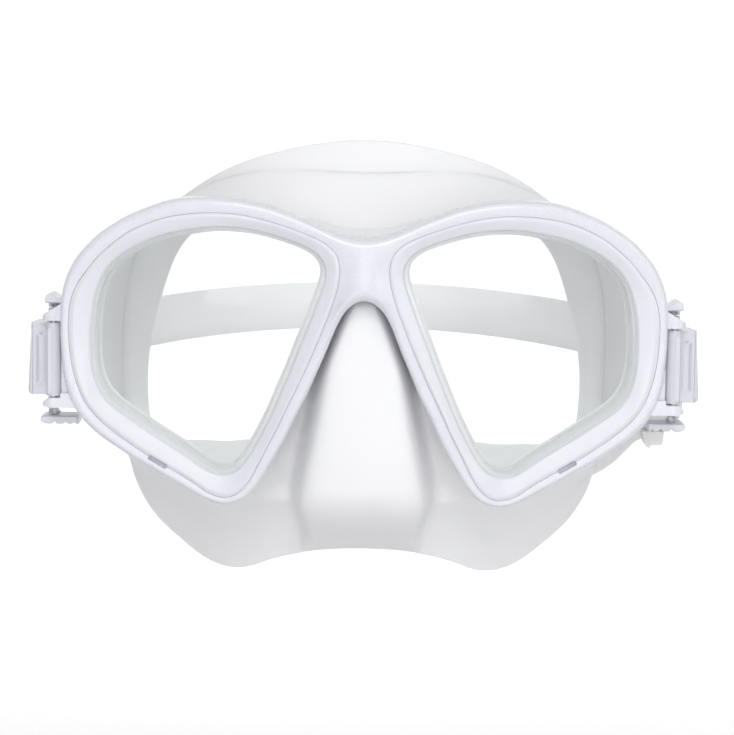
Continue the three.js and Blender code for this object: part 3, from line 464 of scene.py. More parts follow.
def put(name, verts, faces, mat, body="root", slot=None, replaces=(), sharp=40, mirror=False, ride=True, mats=None, index=None, fix=True):
    v = np.asarray(verts, float).copy()
    f = [tuple(int(i) for i in x) for x in faces]
    if mirror:
        v[:, 0] *= -1
    if fix and volume(v, f) < 0:
        f = [x[::-1] for x in f]
    v[:, 1] -= SEAL_Y
    v /= 1000.0
    me = bpy.data.meshes.new(name)
    me.from_pydata(v.tolist(), [], f)
    me.update()
    for m in (mats or [mat]):
        me.materials.append(m)
    if index is not None:
        me.polygons.foreach_set("material_index", np.asarray(index, np.int32))
    me.shade_smooth()
    if sharp:
        me.set_sharp_from_angle(angle=rad(sharp))
    o = bpy.data.objects.new(name, me)
    bpy.context.scene.collection.objects.link(o)
    if ride:
        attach(o, body)
    if replaces:
        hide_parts(*replaces)
    return o

def both(name, verts, faces, mat, body="root", slot=None, replaces=(), **k):
    """The left piece as drawn (x < 0) and its mirror image on the right. {} in a name is the side."""
    out = []
    for side in ("left", "right"):
        b = body.format(side)
        out.append(put(name.format(side), verts, faces, mat, b, slot, [r.format(side) for r in replaces], mirror=(side == "right"), **k))
    return out

# =========================================================================== lens stack loops
NS = 288
seam_d = lowpass(dense(SEAM, 1200), 2.2)
win_d = lowpass(dense(WINDOW, 1200), 2.2)
seam = even(seam_d, NS)
TH = np.arctan2(*(seam - CEN).T[::-1])
def wloop(d):
    return polar(grow(win_d, d), TH)
def sloop(d):
    return polar(grow(seam_d, d), TH)
window = wloop(0.0)

# =========================================================================== frame
def nearest(P, Q):
    return np.array([np.min(np.hypot(*(Q - p).T)) for p in P])

def lean(P, ds):
    """The bridge leans forward towards the nose arch, away from the seams."""
    z = P[:, 1]
    t = np.clip((28.0 - z) / 10.0, 0, 1)
    k = np.clip(ds / 5.0, 0, 1)
    return 1.5 * t * t * (3 - 2 * t) * k * k * (3 - 2 * k) * np.clip((z - 2.0) / 13.0, 0, 1) * np.exp(-(P[:, 0] / 13.0) ** 4)

def make_frame():
    half = FRAME_OUT
    loop = half + [[-p[0], p[1]] for p in half[1:-1][::-1]]
    NO = 600
    O = lowpass(dense(loop, 2400), 1.8)[::4]
    O = even(O, NO)
    both_seams = np.vstack([seam_d, seam_d * [-1, 1]])
    near = nearest(O, both_seams)
    w = np.clip(near, 2.0, 9.0)
    f = np.fft.fftfreq(NO); g = np.exp(-((2 * np.pi * f * 5.0) ** 2) / 2)
    w = np.real(np.fft.ifft(np.fft.fft(w) * g))
    r = np.clip(0.46 * w, 1.0, 2.4)
    ry = 0.8 * r + 0.9
    high = 0.15 * (w - r) + lean(O, near)             # the rim stands proud; the face falls from it to the seam
    B = Build()
    rows = []
    # chamfered back edge, straight wall, rounded front edge
    for y, d in ((12.0, -1.1), (11.97, -0.5), (11.5, 0.0), (10.0, 0.0), (7.5, 0.0), (6.6, 0.0)):
        rows.append(lift(grow(O, d), y))
    K = 9
    for k in range(K + 1):
        a = math.pi / 2 * k / K
        P = grow(O, -r * (1 - math.cos(a)))
        rows.append(np.stack([P[:, 0], (ry + high) * (1 - math.sin(a)) - high + warp(P[:, 0], P[:, 1]), P[:, 1]], 1))
    ids = B.loft(rows)
    front = grow(O, -r)
    lip = 0.1
    S1 = grow(seam, lip)
    S2 = S1 * [-1, 1]
    P, T = fill(front, [S1, S2[::-1]], 1.5, 0.75)
    fixed = NO + 2 * NS
    ds, do = nearest(P, both_seams), nearest(P, front)
    W = np.clip(ds + do, 0.5, 9.0)
    q = ds / np.maximum(ds + do, 1e-6)                # 1 at the rim, 0 at the seam
    edge_fade = np.clip((ds - lip) / 0.8, 0, 1)
    crown = 0.15 * W * q ** 1.1 + 0.22 * np.sin(math.pi * np.clip(q, 0, 1)) * np.clip(W / 5.0, 0, 1) + lean(P, ds)
    crown *= edge_fade * (2 - edge_fade)
    y = -crown + warp(P[:, 0], P[:, 1])
    base = B.add(np.stack([P[:, 0], y, P[:, 1]], 1))
    # share the rounded edge's last row with the fill's outer loop
    idx = base.copy()
    idx[:NO] = ids[-1]
    B.f += [tuple(idx[t]) for t in T]
    hole = wloop(0.9)
    for sgn, off in ((1, NO), (-1, NO + NS)):
        first = idx[off:off + NS]
        if sgn < 0:
            first = first[::-1]
        rows2 = []
        for k in (1, 2, 3):
            a = math.pi / 2 * (1 - k / 3)
            rows2.append(lift(grow(seam, lip * (1 - math.cos(a))), lip * (1 - math.sin(a))))
        rows2 += [lift(seam, 3.2), lift(seam, 8.3), lift(grow(seam, -0.3), 8.6), lift(wloop(1.3), 8.6), lift(wloop(0.9), 9.0), lift(hole, 11.6), lift(wloop(1.2), 12.0)]
        if sgn < 0:
            rows2 = [x * [-1, 1, 1] for x in rows2]
        prev = first
        ends = None
        for x in rows2:
            cur = B.add(x)
            (B.strip(prev, cur) if sgn > 0 else B.strip(cur, prev))
            prev = cur
        if sgn > 0:
            endL = prev
        else:
            endR = prev
    bo = grow(O, -1.1)
    h1 = wloop(1.2)
    P, T = fill(bo, [h1, (h1 * [-1, 1])[::-1]], 3.0, 1.4)
    relief = np.zeros(len(P))
    add = B.add(lift(P, 12.0))
    idx = add.copy()
    idx[:NO] = ids[0]
    idx[NO:NO + NS] = endL
    idx[NO + NS:NO + 2 * NS] = endR[::-1]
    B.f += [tuple(idx[t][::-1]) for t in T]
    v, f = B.done()
    used = np.zeros(len(v), bool)
    for x in f:
        used[list(x)] = True
    m = np.cumsum(used) - 1
    return v[used], [tuple(m[list(x)]) for x in f]

def cut_slots(o, side):
    """Small pry slot on the seam, below the lens."""
    s = -1 if side == "left" else 1
    a = rad(29)
    c = np.array([-54.2, -26.6])
    B = Build()
    prof = [(-2.6, -0.6), (-2.3, -0.72), (2.3, -0.72), (2.6, -0.6), (2.72, -0.3), (2.72, 0.3), (2.6, 0.6), (2.3, 0.72), (-2.3, 0.72), (-2.6, 0.6), (-2.72, 0.3), (-2.72, -0.3)]
    P = np.array([[c[0] + x * math.cos(a) + z * math.sin(a), c[1] - x * math.sin(a) + z * math.cos(a)] for x, z in prof])
    B.solid([lift(P, -2.0), lift(P, 1.9)])
    v, f = B.done()
    if side == "right":
        v = v * [-1, 1, 1]
    if volume(v, f) < 0:
        f = [x[::-1] for x in f]
    v = v.copy(); v[:, 1] -= SEAL_Y; v /= 1000
    me = bpy.data.meshes.new("cutter")
    me.from_pydata(v.tolist(), [], [tuple(int(i) for i in x) for x in f])
    me.update()
    k = bpy.data.objects.new("cutter", me)
    bpy.context.scene.collection.objects.link(k)
    md = o.modifiers.new("slot", "BOOLEAN")
    md.operation, md.solver, md.object = "DIFFERENCE", "EXACT", k
    dg = bpy.context.evaluated_depsgraph_get()
    dg.update()
    new = bpy.data.meshes.new_from_object(o.evaluated_get(dg))
    o.modifiers.clear()
    old = o.data
    o.data = new
    new.name = o.name
    new.shade_smooth()
    new.set_sharp_from_angle(angle=rad(38))
    bpy.data.meshes.remove(old)
    bpy.data.objects.remove(k)
    bpy.data.meshes.remove(me)

v, f = make_frame()
frame_obj = put("mask_frame", v, f, PLASTIC, "root", "frame_plastic", ["main_frame"], sharp=40)
cut_slots(frame_obj, "left")
cut_slots(frame_obj, "right")

# =========================================================================== retaining rings
def make_ring():
    A = sloop(-0.06)
    Wn = window
    w = np.linalg.norm(Wn - A, axis=1)
    D = (Wn - A) / w[:, None]
    B = Build()
    rows = []
    def at(t, y):                       # t from the outer edge, absolute (array or number)
        P = A + D * (t[:, None] if isinstance(t, np.ndarray) else t)
        rows.append(lift(P, 0.0) + np.stack([np.zeros(NS), np.broadcast_to(y, NS), np.zeros(NS)], 1))
    at(0.15, 3.0); at(0.0, 2.85); at(0.0, 0.28)
    at(0.01, 0.19); at(0.04, 0.14); at(0.1, 0.1)
    body = w - 0.1 - 1.15                # the bezel swells a little past the seam, then falls towards the glass
    def fall(q):
        return 0.1 - 0.42 * math.sin(min(1.0, q / 0.26) * math.pi / 2) ** 1.3 + 1.25 * max(0.0, q - 0.2) ** 1.35
    for k in range(1, 15):
        s = k / 14
        t = 0.1 + body * s
        y = fall(s)
        at(t, y)
    y0 = fall(1.0)
    for k in range(1, 7):
        a = math.pi / 2 * k / 6
        at(w - 1.15 + 0.8 * math.sin(a), y0 + 1.0 * (1 - math.cos(a)))
    at(w - 0.18, y0 + 1.9); at(w, 2.75); at(w - 0.12, 3.0)
    B.loft(rows, ring=True)
    return B.done()
v, f = make_ring()
for o, side in zip(both("retaining_ring_{}", v, f, RINGS, slot="ring_plastic", replaces=["lens_ring_{}"], sharp=45), ("left", "right")):
    cut_slots(o, side)

# =========================================================================== lenses
def make_lens():
    B = Build()
    rows = [lift(wloop(-0.55), 3.4), lift(wloop(1.45), 3.4), lift(wloop(1.8), 3.75), lift(wloop(1.8), 6.45), lift(wloop(1.45), 6.8), lift(wloop(-0.9), 6.8)]
    ids = B.loft(rows)
    n = len(B.f)
    B.cap(ids[0], True); B.cap(ids[-1])
    idx = [1] * n + [0, 0]
    return (*B.done(), idx)
v, f, idx = make_lens()
both("lens_glass_{}", v, f, None, slot="lens_glass", replaces=["lens_{}"], sharp=25, mats=[GLASS, GLASS_EDGE], index=idx)

# =========================================================================== skirt
def spline(keys, per):
    P = np.asarray(keys, float)
    n = len(P) - 1
    out = []
    for i in range(n):
        p1, p2 = P[i], P[i + 1]
        p0 = P[i - 1] if i else 2 * p1 - p2
        p3 = P[i + 2] if i + 2 <= n else 2 * p2 - p1
        for t in np.arange(per) / per:
            out.append(0.5 * ((2 * p1) + (p2 - p0) * t + (2 * p0 - 5 * p1 + 4 * p2 - p3) * t * t + (3 * p1 - p0 - 3 * p2 + p3) * t ** 3))
    out.append(P[-1])
    return np.array(out)

def root_y(x, z):
    return 11.85 + warp(x, z)
rootK, edgeK, flapK = np.array(ROOT, float), np.array(EDGE, float), np.array(FLAP, float)

def wall_pt(r, e, v):
    R = np.array([r[0], root_y(r[0], r[1]), r[1]])
    E = np.array([e[0], e[2], e[1]])
    C = np.array([R[0] + 0.4 * (E[0] - R[0]), R[1] + 0.74 * (E[1] - R[1]), R[2] + 0.4 * (E[2] - R[2])])
    return R * (1 - v) ** 2 + C * 2 * v * (1 - v) + E * v * v

def wall(i, v):
    return wall_pt(rootK[i], edgeK[i], v)

def col_x(hw, X):
    g = X - hw
    a, b, c = min(1.1, 0.2 * g), min(2.4, 0.42 * g), min(4.2, 0.66 * g)
    return np.array([0, 0.5 * hw, 0.85 * hw, hw, hw + a, hw + b, hw + c, (hw + c + X) / 2, X])
COL_S = [1, 0.99, 0.93, 0.79, 0.52, 0.2, 0.02, 0, 0]

def skirt_net():
    verts, th, key, faces = [], [], {}, []
    def add(p, t):
        k = tuple(np.round(np.asarray(p, float) * 400).astype(int))
        if k not in key:
            key[k] = len(verts)
            verts.append(np.asarray(p, float)); th.append(t)
        return key[k]
    def quad(*c):
        u = []
        for i in c:
            if i not in u:
                u.append(i)
        if len(u) > 2:
            faces.append(tuple(u))
    mx = np.array([-1, 1, 1])
    n = len(rootK) - 1
    TV = [1.8, 1.75, 1.65, 1.5, 1.3, 1.1, 0.95]
    for i in range(n):
        for j in range(6):
            p = [wall(i, VROWS[j]), wall(i + 1, VROWS[j]), wall(i + 1, VROWS[j + 1]), wall(i, VROWS[j + 1])]
            t = [TV[j], TV[j], TV[j + 1], TV[j + 1]]
            quad(*[add(a, b) for a, b in zip(p, t)])
            quad(*[add(a * mx, b) for a, b in list(zip(p, t))[::-1]])
    rows = []
    K = 9
    top = []
    for k in range(K):
        s = k / (K - 1); x = 5.2 * s; z = 18.8 - 2.2 * s * s
        top.append((np.array([x, root_y(x, z), z]), 1.8))
    rows.append(top)
    for z, X, hw, yf, dep in NOSE:
        last = z == -34
        yr = float(root_y(X, -35.2 if last else z))
        xs = col_x(hw, X)
        r = []
        for k, x in enumerate(xs):
            yb = yr + dep * (1 - (x / X) ** 4)
            zz = z - 1.2 * (x / X) ** 2 if last else z
            y = yb + (yf - (yr + dep)) * COL_S[k]
            if k == K - 1:
                r.append((wall(0, 0) * mx if last else np.array([X, yr, z]), 1.8))
            else:
                r.append((np.array([x, y, zz]), 1.7))
        rows.append(r)
    for j, (z, hw, yf, bs) in enumerate(CHIN):
        e = wall(0, VROWS[j + 1])
        X = -e[0]
        xs = col_x(hw, X)
        r = []
        for k, x in enumerate(xs):
            if k == K - 1:
                r.append((e * mx, TV[j + 1])); continue
            t = x / X
            yb = bs + (e[1] - bs) * t * t
            zz = z + (e[2] - z) * t ** 2.2
            r.append((np.array([x, yb + (yf - bs) * COL_S[k], zz]), TV[j + 1]))
        rows.append(r)
    for a, b in zip(rows, rows[1:]):
        for k in range(K - 1):
            p = [a[k], b[k], b[k + 1], a[k + 1]]
            quad(*[add(*c) for c in p])
            quad(*[add(c[0] * mx, c[1]) for c in p[::-1]])
    # web between the root outline and the two apertures, on the swept plane
    outline = [(-p[0][0], p[0][2]) for p in rows[0]][::-1][:-1]            # arch apex row, left to centre
    left = [tuple(rootK[i]) for i in range(n + 1)]                           # leg tip, side, top centre
    arch = [(-r[-1][0][0], r[-1][0][2]) for r in rows[1:len(NOSE)]]                 # arch leg, top to tip (left side)
    loop = [(0.0, 18.8)] + [(-p[0][0], p[0][2]) for p in rows[0][1:]] + arch + left
    # arch's last point is above the tip; drop duplicates
    ring = []
    for p in loop:
        if not ring or math.dist(ring[-1], p) > 0.2:
            ring.append(p)
    full = ring + [(-x, z) for x, z in ring[1:-1][::-1]]
    outer = np.array(full)
    ap = even(polar(grow(win_d, 0.2), np.linspace(-np.pi, np.pi, 720, endpoint=False)), 44)
    holes = [ap, (ap * [-1, 1])[::-1]]
    P, T = fill(outer, holes, 4.2, 2.0)
    ids = []
    for i, (x, z) in enumerate(P):
        ids.append(add(np.array([x, float(root_y(x, z)), z]), 1.8))
    for t in T:
        quad(*[ids[i] for i in t])
    return np.array(verts), np.array(th), faces

def orient(v, faces, centre):
    """Same winding on neighbouring faces, with normals away from a point."""
    me = bpy.data.meshes.new("t")
    me.from_pydata(v.tolist(), [], faces)
    bm = bmesh.new(); bm.from_mesh(me)
    bmesh.ops.recalc_face_normals(bm, faces=bm.faces)
    bm.faces.ensure_lookup_table(); bm.verts.ensure_lookup_table()
    out = [tuple(l.vert.index for l in f.loops) for f in bm.faces]
    s = sum(f.normal.dot(f.calc_center_median() - Vector(centre)) * f.calc_area() for f in bm.faces)
    bm.free(); bpy.data.meshes.remove(me)
    return out if s > 0 else [f[::-1] for f in out]

def make_skirt():
    v, th, faces = skirt_net()
    faces = orient(v, faces, (0, 45, 0))
    X = np.column_stack([v, th])
    Y, q = surface(X, faces, 3, pull=3, weight=0.8)
    t = np.clip(Y[:, 3], 0.9, 1.9)
    return shell(Y[:, :3], q, t)
v, f = make_skirt()
skirt = put("skirt_shell", v, f, SILICONE, "root", "silicone", ["skirt"], sharp=0)

def make_flap():
    n = len(rootK) - 1
    line = []
    for i in range(n + 1):
        vv = FLAP_V[i]
        a = wall(i, vv)
        along = wall(min(n, i + 1), vv) - wall(max(0, i - 1), vv)
        down = wall(i, vv + 0.02) - wall(i, vv - 0.02)
        nn = np.cross(along, down); nn /= np.linalg.norm(nn)
        if nn @ (np.array([-30, 30, 2.0]) - a) < 0:
            nn = -nn
        J = a + nn * 0.75
        E = np.array([flapK[i][0], flapK[i][2], flapK[i][1]])
        M = J + 0.45 * (E - J) + np.array([0, 2.2, 0])
        line.append([J * (1 - t) ** 2 + M * 2 * t * (1 - t) + E * t * t for t in (0, 0.3, 0.65, 1)])
    # the end beside the nose runs out into the wall
    e0 = []
    for k, t in enumerate((0, 0.3, 0.65, 1)):
        J = line[0][0]
        e0.append(J + (line[0][k] - J) * 0.25 + np.array([5.0 - 0.5 * k, 0.8 * k, 0.3]))
    line = [e0] + line
    line += [[p * [-1, 1, 1] for p in l] for l in line[:-1][::-1]]
    V = np.array(line).reshape(-1, 3)
    th = np.tile([1.5, 1.3, 1.0, 0.7], len(line))
    faces = []
    for i in range(len(line) - 1):
        for j in range(3):
            a = i * 4 + j; b = a + 4
            faces.append((a, b, b + 1, a + 1))
    faces = orient(V, faces, (0, 200, 0))
    Y, q = surface(np.column_stack([V, th]), faces, 3, pull=3, weight=0.8)
    return shell(Y[:, :3], q, np.clip(Y[:, 3], 0.6, 1.5))
v, f = make_flap()
put("skirt_inner_flap", v, f, SILICONE, "root", "silicone", sharp=0)

def brow_lip():
    """Thin lip of the skirt over the bridge; it stands a little off the forehead panel in the middle."""
    G = []
    for i in np.linspace(13.0, 15.0, 41):
        k = int(min(14, i)); f = i - k
        r, e = rootK[k] * (1 - f) + rootK[k + 1] * f, edgeK[k] * (1 - f) + edgeK[k + 1] * f
        for vv in np.linspace(0, 0.5, 51):
            G.append(wall_pt(r, e, vv))
    G = np.array(G); G = np.vstack([G, G * [-1, 1, 1]])
    def back(x, z):
        d = (G[:, 0] - x) ** 2 + (G[:, 2] - z) ** 2
        k = np.argsort(d)[:6]
        wt = 1 / (d[k] + 1e-4)
        return float((G[k, 1] * wt).sum() / wt.sum())
    B = Build()
    rows = []
    for x in np.linspace(-15, 15, 91):
        zf = np.interp(abs(x), [0, 4.3, 8.5, 12.6, 16.6], [33.4, 34, 35.1, 36.8, 38.5]) - 0.4
        zt = 35.6 + 0.0125 * x * x
        yw = back(x, zt)
        gap = 0.75 * max(0.0, 1 - (x / 9.5) ** 2)
        th = 0.9
        f = yw - gap - th
        y0 = back(x, zf) - 2.4
        rows.append(np.array([[x, y0 - 0.6, zf - 2.0], [x, y0, zf - 0.6], [x, y0 * 0.55 + f * 0.45, zf * 0.55 + zt * 0.45 - 0.12], [x, f - 0.05, zt - 0.5], [x, f + 0.1, zt - 0.16], [x, f + 0.35, zt], [x, f + 0.62, zt - 0.03], [x, f + 0.85, zt - 0.25],
                              [x, f + 0.9, zt - 0.7], [x, back(x, zf) + 0.5, zf - 1.0], [x, back(x, zf) + 0.5, zf - 2.0]]))
    B.solid(rows)
    return B.done()
v, f = brow_lip()
put("skirt_brow_lip", v, f, SILICONE, "root", "silicone", sharp=60)

def make_seat():
    """Bead that grips the glass and the neck behind it."""
    def L(P, y):
        return lift(P, y)
    B = Build()
    le = wloop(2.1)
    rows = [L(sloop(-0.4), 3.5), L(sloop(-0.6), 3.3), L(wloop(2.3), 3.3), L(le, 3.5), L(le, 7.1),
            L(wloop(-0.45), 7.1), L(wloop(-0.62), 7.14), L(wloop(-0.74), 7.26), L(wloop(-0.8), 7.45),
            L(wloop(-0.8), 9.5), L(wloop(-0.82), 11.8), L(wloop(-0.92), 13.0), L(wloop(-1.1), 13.55), L(wloop(-1.5), 13.85), L(wloop(-0.6), 13.9), L(wloop(0.3), 13.4),
            L(wloop(0.6), 12.2), L(wloop(0.6), 8.6), L(wloop(0.8), 8.3), L(sloop(-0.6), 8.3), L(sloop(-0.4), 8.1)]
    B.loft(rows, ring=True)
    return B.done()
v, f = make_seat()
both("lens_seat_{}", v, f, SILICONE, slot="silicone", sharp=50)

# =========================================================================== strap
STRAP_W, STRAP_T = 14.6, 1.5
SA, SB, SYC, SRISE = 84.0, 147.0, 20.0, 2.8
def strap_point(a):
    return np.array([SA * math.cos(a), SYC + SB * math.sin(a), SRISE * math.sin(a) ** 2])
JOIN_A = math.asin((44 - SYC) / SB)
ROLL_P, ROLL_Q = 85.25, 24.0
TAIL = {"left": [[86.8, 42, 0.1], [85.3, 50, 0.25], [83.7, 58, 0.35], [82.0, 66.5, 0.5], [80.9, 71.8, 0.6], [79.2, 79.8, 0.8], [77.1, 87.9, 1.0]],
        "right": [[87.8, 42, -1.5], [88.4, 49, -4.2], [87.8, 56, -9], [85.6, 62, -14.6], [80.4, 66.4, -18.2], [74.4, 69, -21.4], [70, 69.6, -25.8], [66.2, 69.4, -29.3], [60.8, 68.8, -31.8], [54.2, 67.6, -33.3]]}
TAIL_W = {"left": [[0, 0, 1]] * 7,
          "right": [[0.02, 0.1, 1], [0.02, 0.22, 1], [-0.08, 0.25, 1], [-0.3, 0.22, 1], [-0.5, 0.12, 0.9], [-0.62, 0.05, 0.78], [-0.64, 0, 0.76], [-0.5, 0, 0.87], [-0.33, 0, 0.94], [-0.25, 0, 0.97]]}

def strap_path(side):
    """Centre line in right-hand coordinates, rear centre to tail end, with width directions."""
    P, W = [], []
    n = 26
    for i in range(n + 1):
        a = math.pi / 2 + (JOIN_A - math.pi / 2) * i / n
        P.append(strap_point(a)); W.append([0, 0, 1])
    fr = 1.0 + 0.3 + STRAP_T / 2
    for q in (38, 31):
        a = math.asin((q - SYC) / SB)
        x = SA * math.cos(a) + (-0.05 if q < 38.5 else 0) if q > 35 else ROLL_P - fr
        P.append([x, q, SRISE * math.sin(a) ** 2 if q > 35 else 0]); W.append([0, 0, 1])
    for k in range(9):
        a = math.pi + math.pi * k / 8
        P.append([ROLL_P + fr * math.cos(a), ROLL_Q + fr * math.sin(a), 0]); W.append([0, 0, 1])
    P += [[ROLL_P + fr, 29, 0], [ROLL_P + fr, 34.5, 0]]; W += [[0, 0, 1]] * 2
    P += TAIL[side]; W += TAIL_W[side]
    return np.array(P, float), np.array(W, float)

def ribbon(side):
    P, W = strap_path(side)
    # fine samples: Catmull-Rom through the points, then even spacing 0.6 mm
    S = spline(np.column_stack([P, W]), 10)
    d = np.concatenate([[0], np.cumsum(np.linalg.norm(np.diff(S[:, :3], axis=0), axis=1))])
    step = 0.6
    n = int(d[-1] / step)
    t = np.linspace(0, d[-1], n + 1)
    S = np.stack([np.interp(t, d, S[:, k]) for k in range(6)], 1)
    C, Wd = S[:, :3], S[:, 3:]
    for _ in range(3):                  # ease the joints between the pieces of the route
        C[1:-1] = 0.25 * C[:-2] + 0.5 * C[1:-1] + 0.25 * C[2:]
    T = np.gradient(C, axis=0); T /= np.linalg.norm(T, axis=1)[:, None]
    Wd = Wd - T * np.sum(Wd * T, 1)[:, None]; Wd /= np.linalg.norm(Wd, axis=1)[:, None]
    Nn = np.cross(T, Wd)                # one face of the band; sign settled below
    # make Nn point away from the head on the plain band
    if Nn[n // 6][0] * C[n // 6][0] + Nn[n // 6][1] * (C[n // 6][1] - 40) < 0:
        Nn = -Nn
    end = t[-1]
    roll_s = t[np.argmin(np.abs(C[:, 1] - 20.6) + np.abs(C[:, 0] - ROLL_P))]
    h, tk = STRAP_W / 2, STRAP_T / 2
    rows = []
    B = Build()
    tail_len = 6.0
    for i in range(n + 1):
        s = t[i]
        # rounded tail end
        k = 1.0
        if end - s < tail_len:
            u = 1 - (end - s) / tail_len
            k = math.sqrt(max(0.0, 1 - u ** 2.6)) * 0.75 + 0.25 if u < 1 else 0.25
        hw = h * k
        ft = 1.0 if end - s > 1.0 else max(0.35, math.sqrt(max(0.0, 1 - (1 - (end - s)) ** 2)))
        tooth = 0.0
        if s > roll_s - 26 and s < end - 5.0:
            ph = ((s - roll_s) / 2.4) % 1.0
            tooth = 0.42 * (ph if ph < 0.8 else (1 - ph) * 4) - 0.30
        inner_teeth = tooth if tooth else 0.0
        bead = 0.16 if not tooth else 0.10
        a = tk * ft
        up = a + inner_teeth * ft       # the toothed face
        sec = [(-hw, -0.35 * a), (-hw, 0.35 * a), (-hw + 0.10, 0.72 * a), (-hw + 0.38, a * 0.96 + bead), (-hw + 0.85, a + bead * 1.15), (-hw + 1.35, a + bead * 0.5), (-hw + 1.75, up),
               (-0.4 * hw, up), (0.0, up), (0.4 * hw, up),
               (hw - 1.75, up), (hw - 1.35, a + bead * 0.5), (hw - 0.85, a + bead * 1.15), (hw - 0.38, a * 0.96 + bead), (hw - 0.10, 0.72 * a), (hw, 0.35 * a), (hw, -0.35 * a),
               (hw - 0.10, -0.75 * a), (hw - 0.40, -a), (0.4 * hw, -a), (0.0, -a), (-0.4 * hw, -a), (-hw + 0.40, -a), (-hw + 0.10, -0.75 * a)]
        bow = 0.0
        R = []
        for x, y in sec:
            R.append(C[i] + Wd[i] * x + Nn[i] * (y + bow * (1 - (x / h) ** 2)))
        rows.append(np.array(R))
    B.solid(rows)
    return B.done()

for side in ("left", "right"):
    v, f = ribbon(side)
    o = put("strap_" + side, v, f, STRAP, None, "strap_silicone", ["strap_end_" + side] + (["head_strap"] if side == "left" else []), sharp=38, mirror=(side == "left"), ride=False)
    s = -1 if side == "left" else 1
    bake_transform(o)

def make_keeper(q, outer):
    a = math.asin((q - SYC) / SB)
    c = strap_point(a)
    t = strap_point(a + 0.02) - c; t /= np.linalg.norm(t)
    nn = np.array([t[1], -t[0], 0.0]); nn /= np.linalg.norm(nn)
    lo, hi, h = -STRAP_T / 2 - 0.3, outer, STRAP_W / 2 + 0.3
    def rr(x0, x1, z0, z1, r, n=6):
        P = []
        for cx, cz, a0 in ((x1 - r, z1 - r, 0), (x0 + r, z1 - r, 90), (x0 + r, z0 + r, 180), (x1 - r, z0 + r, 270)):
            for k in range(n + 1):
                b = rad(a0 + 90 * k / n)
                P.append((cx + r * math.cos(b), cz + r * math.sin(b)))
        return np.array(P)
    out = rr(lo - 1.3, hi + 1.3, -h - 1.3, h + 1.3, 1.5)
    inn = rr(lo, hi, -h, h, 0.3)
    def place(P, s, bulge=0.0):
        ctr = np.array([(lo + hi) / 2, 0.0])
        return np.array([c + nn * (x + (x - ctr[0]) * 0) + t * s + np.array([0, 0, z]) for x, z in P])
    def inset(P, d):
        return grow(P, -d)
    rows = []
    H = 3.5
    prof = [(H, 0.45), (H - 0.06, 0.25), (H - 0.22, 0.08), (H - 0.45, 0.0), (1.6, 0.0), (1.25, 0.16), (0.9, 0.22), (-0.9, 0.22), (-1.25, 0.16), (-1.6, 0.0), (-H + 0.45, 0.0), (-H + 0.22, 0.08), (-H + 0.06, 0.25), (-H, 0.45)]
    rows = [place(inn, H - 0.15)] + [place(inset(inn, -0.15), H)] + [place(inset(out, d), s) for s, d in prof] + [place(inset(inn, -0.15), -H), place(inn, -H + 0.15)]
    B = Build()
    B.loft(rows, ring=True)
    return B.done()
for side, q, outer in (("left", 66, 3.3), ("right", 52, 1.05)):
    v, f = make_keeper(q, outer)
    o = put("strap_loop_" + side, v, f, STRAP, None, "strap_silicone", ["strap_keeper_" + side], sharp=50, mirror=(side == "left"), ride=False)
    s = -1 if side == "left" else 1
    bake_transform(o)

# =========================================================================== plain solids, joined, cut and eased
def rrect(x0, x1, y0, y1, r, n=7):
    P = []
    for cx, cy, a0 in ((x1 - r, y1 - r, 0), (x0 + r, y1 - r, 90), (x0 + r, y0 + r, 180), (x1 - r, y0 + r, 270)):
        for k in range(n + 1):
            b = rad(a0 + 90 * k / n)
            P.append((cx + r * math.cos(b), cy + r * math.sin(b)))
    return P

def circle(x, y, r, n=40):
    return [(x + r * math.cos(2 * math.pi * k / n), y + r * math.sin(2 * math.pi * k / n)) for k in range(n)]

def tube_between(rows):
    B = Build()
    B.solid(rows)
    v, f = B.done()
    if volume(v, f) < 0:
        f = [x[::-1] for x in f]
    return v, f

def along_z(P, z0, z1):                 # outline in (out, back)
    P = np.asarray(P, float)
    return tube_between([np.column_stack([P[:, 0], P[:, 1], np.full(len(P), z)]) for z in (z0, z1)])

def along_y(P, y0, y1, Q=None):         # outline in (out, up); Q is the outline at y1 when it tapers
    P = np.asarray(P, float); Q = P if Q is None else np.asarray(Q, float)
    return tube_between([np.column_stack([R[:, 0], np.full(len(R), y), R[:, 1]]) for R, y in ((P, y0), (Q, y1))])

def block(x0, x1, y0, y1, z0, z1):
    return along_z([(x0, y0), (x1, y0), (x1, y1), (x0, y1)], z0, z1)

def temp(v, f):
    me = bpy.data.meshes.new("t")
    me.from_pydata(np.asarray(v, float).tolist(), [], [tuple(int(i) for i in x) for x in f])
    me.update()
    o = bpy.data.objects.new("t", me)
    bpy.context.scene.collection.objects.link(o)
    return o

def evaluated(o):
    dg = bpy.context.evaluated_depsgraph_get()
    dg.update()
    return bpy.data.meshes.new_from_object(o.evaluated_get(dg))

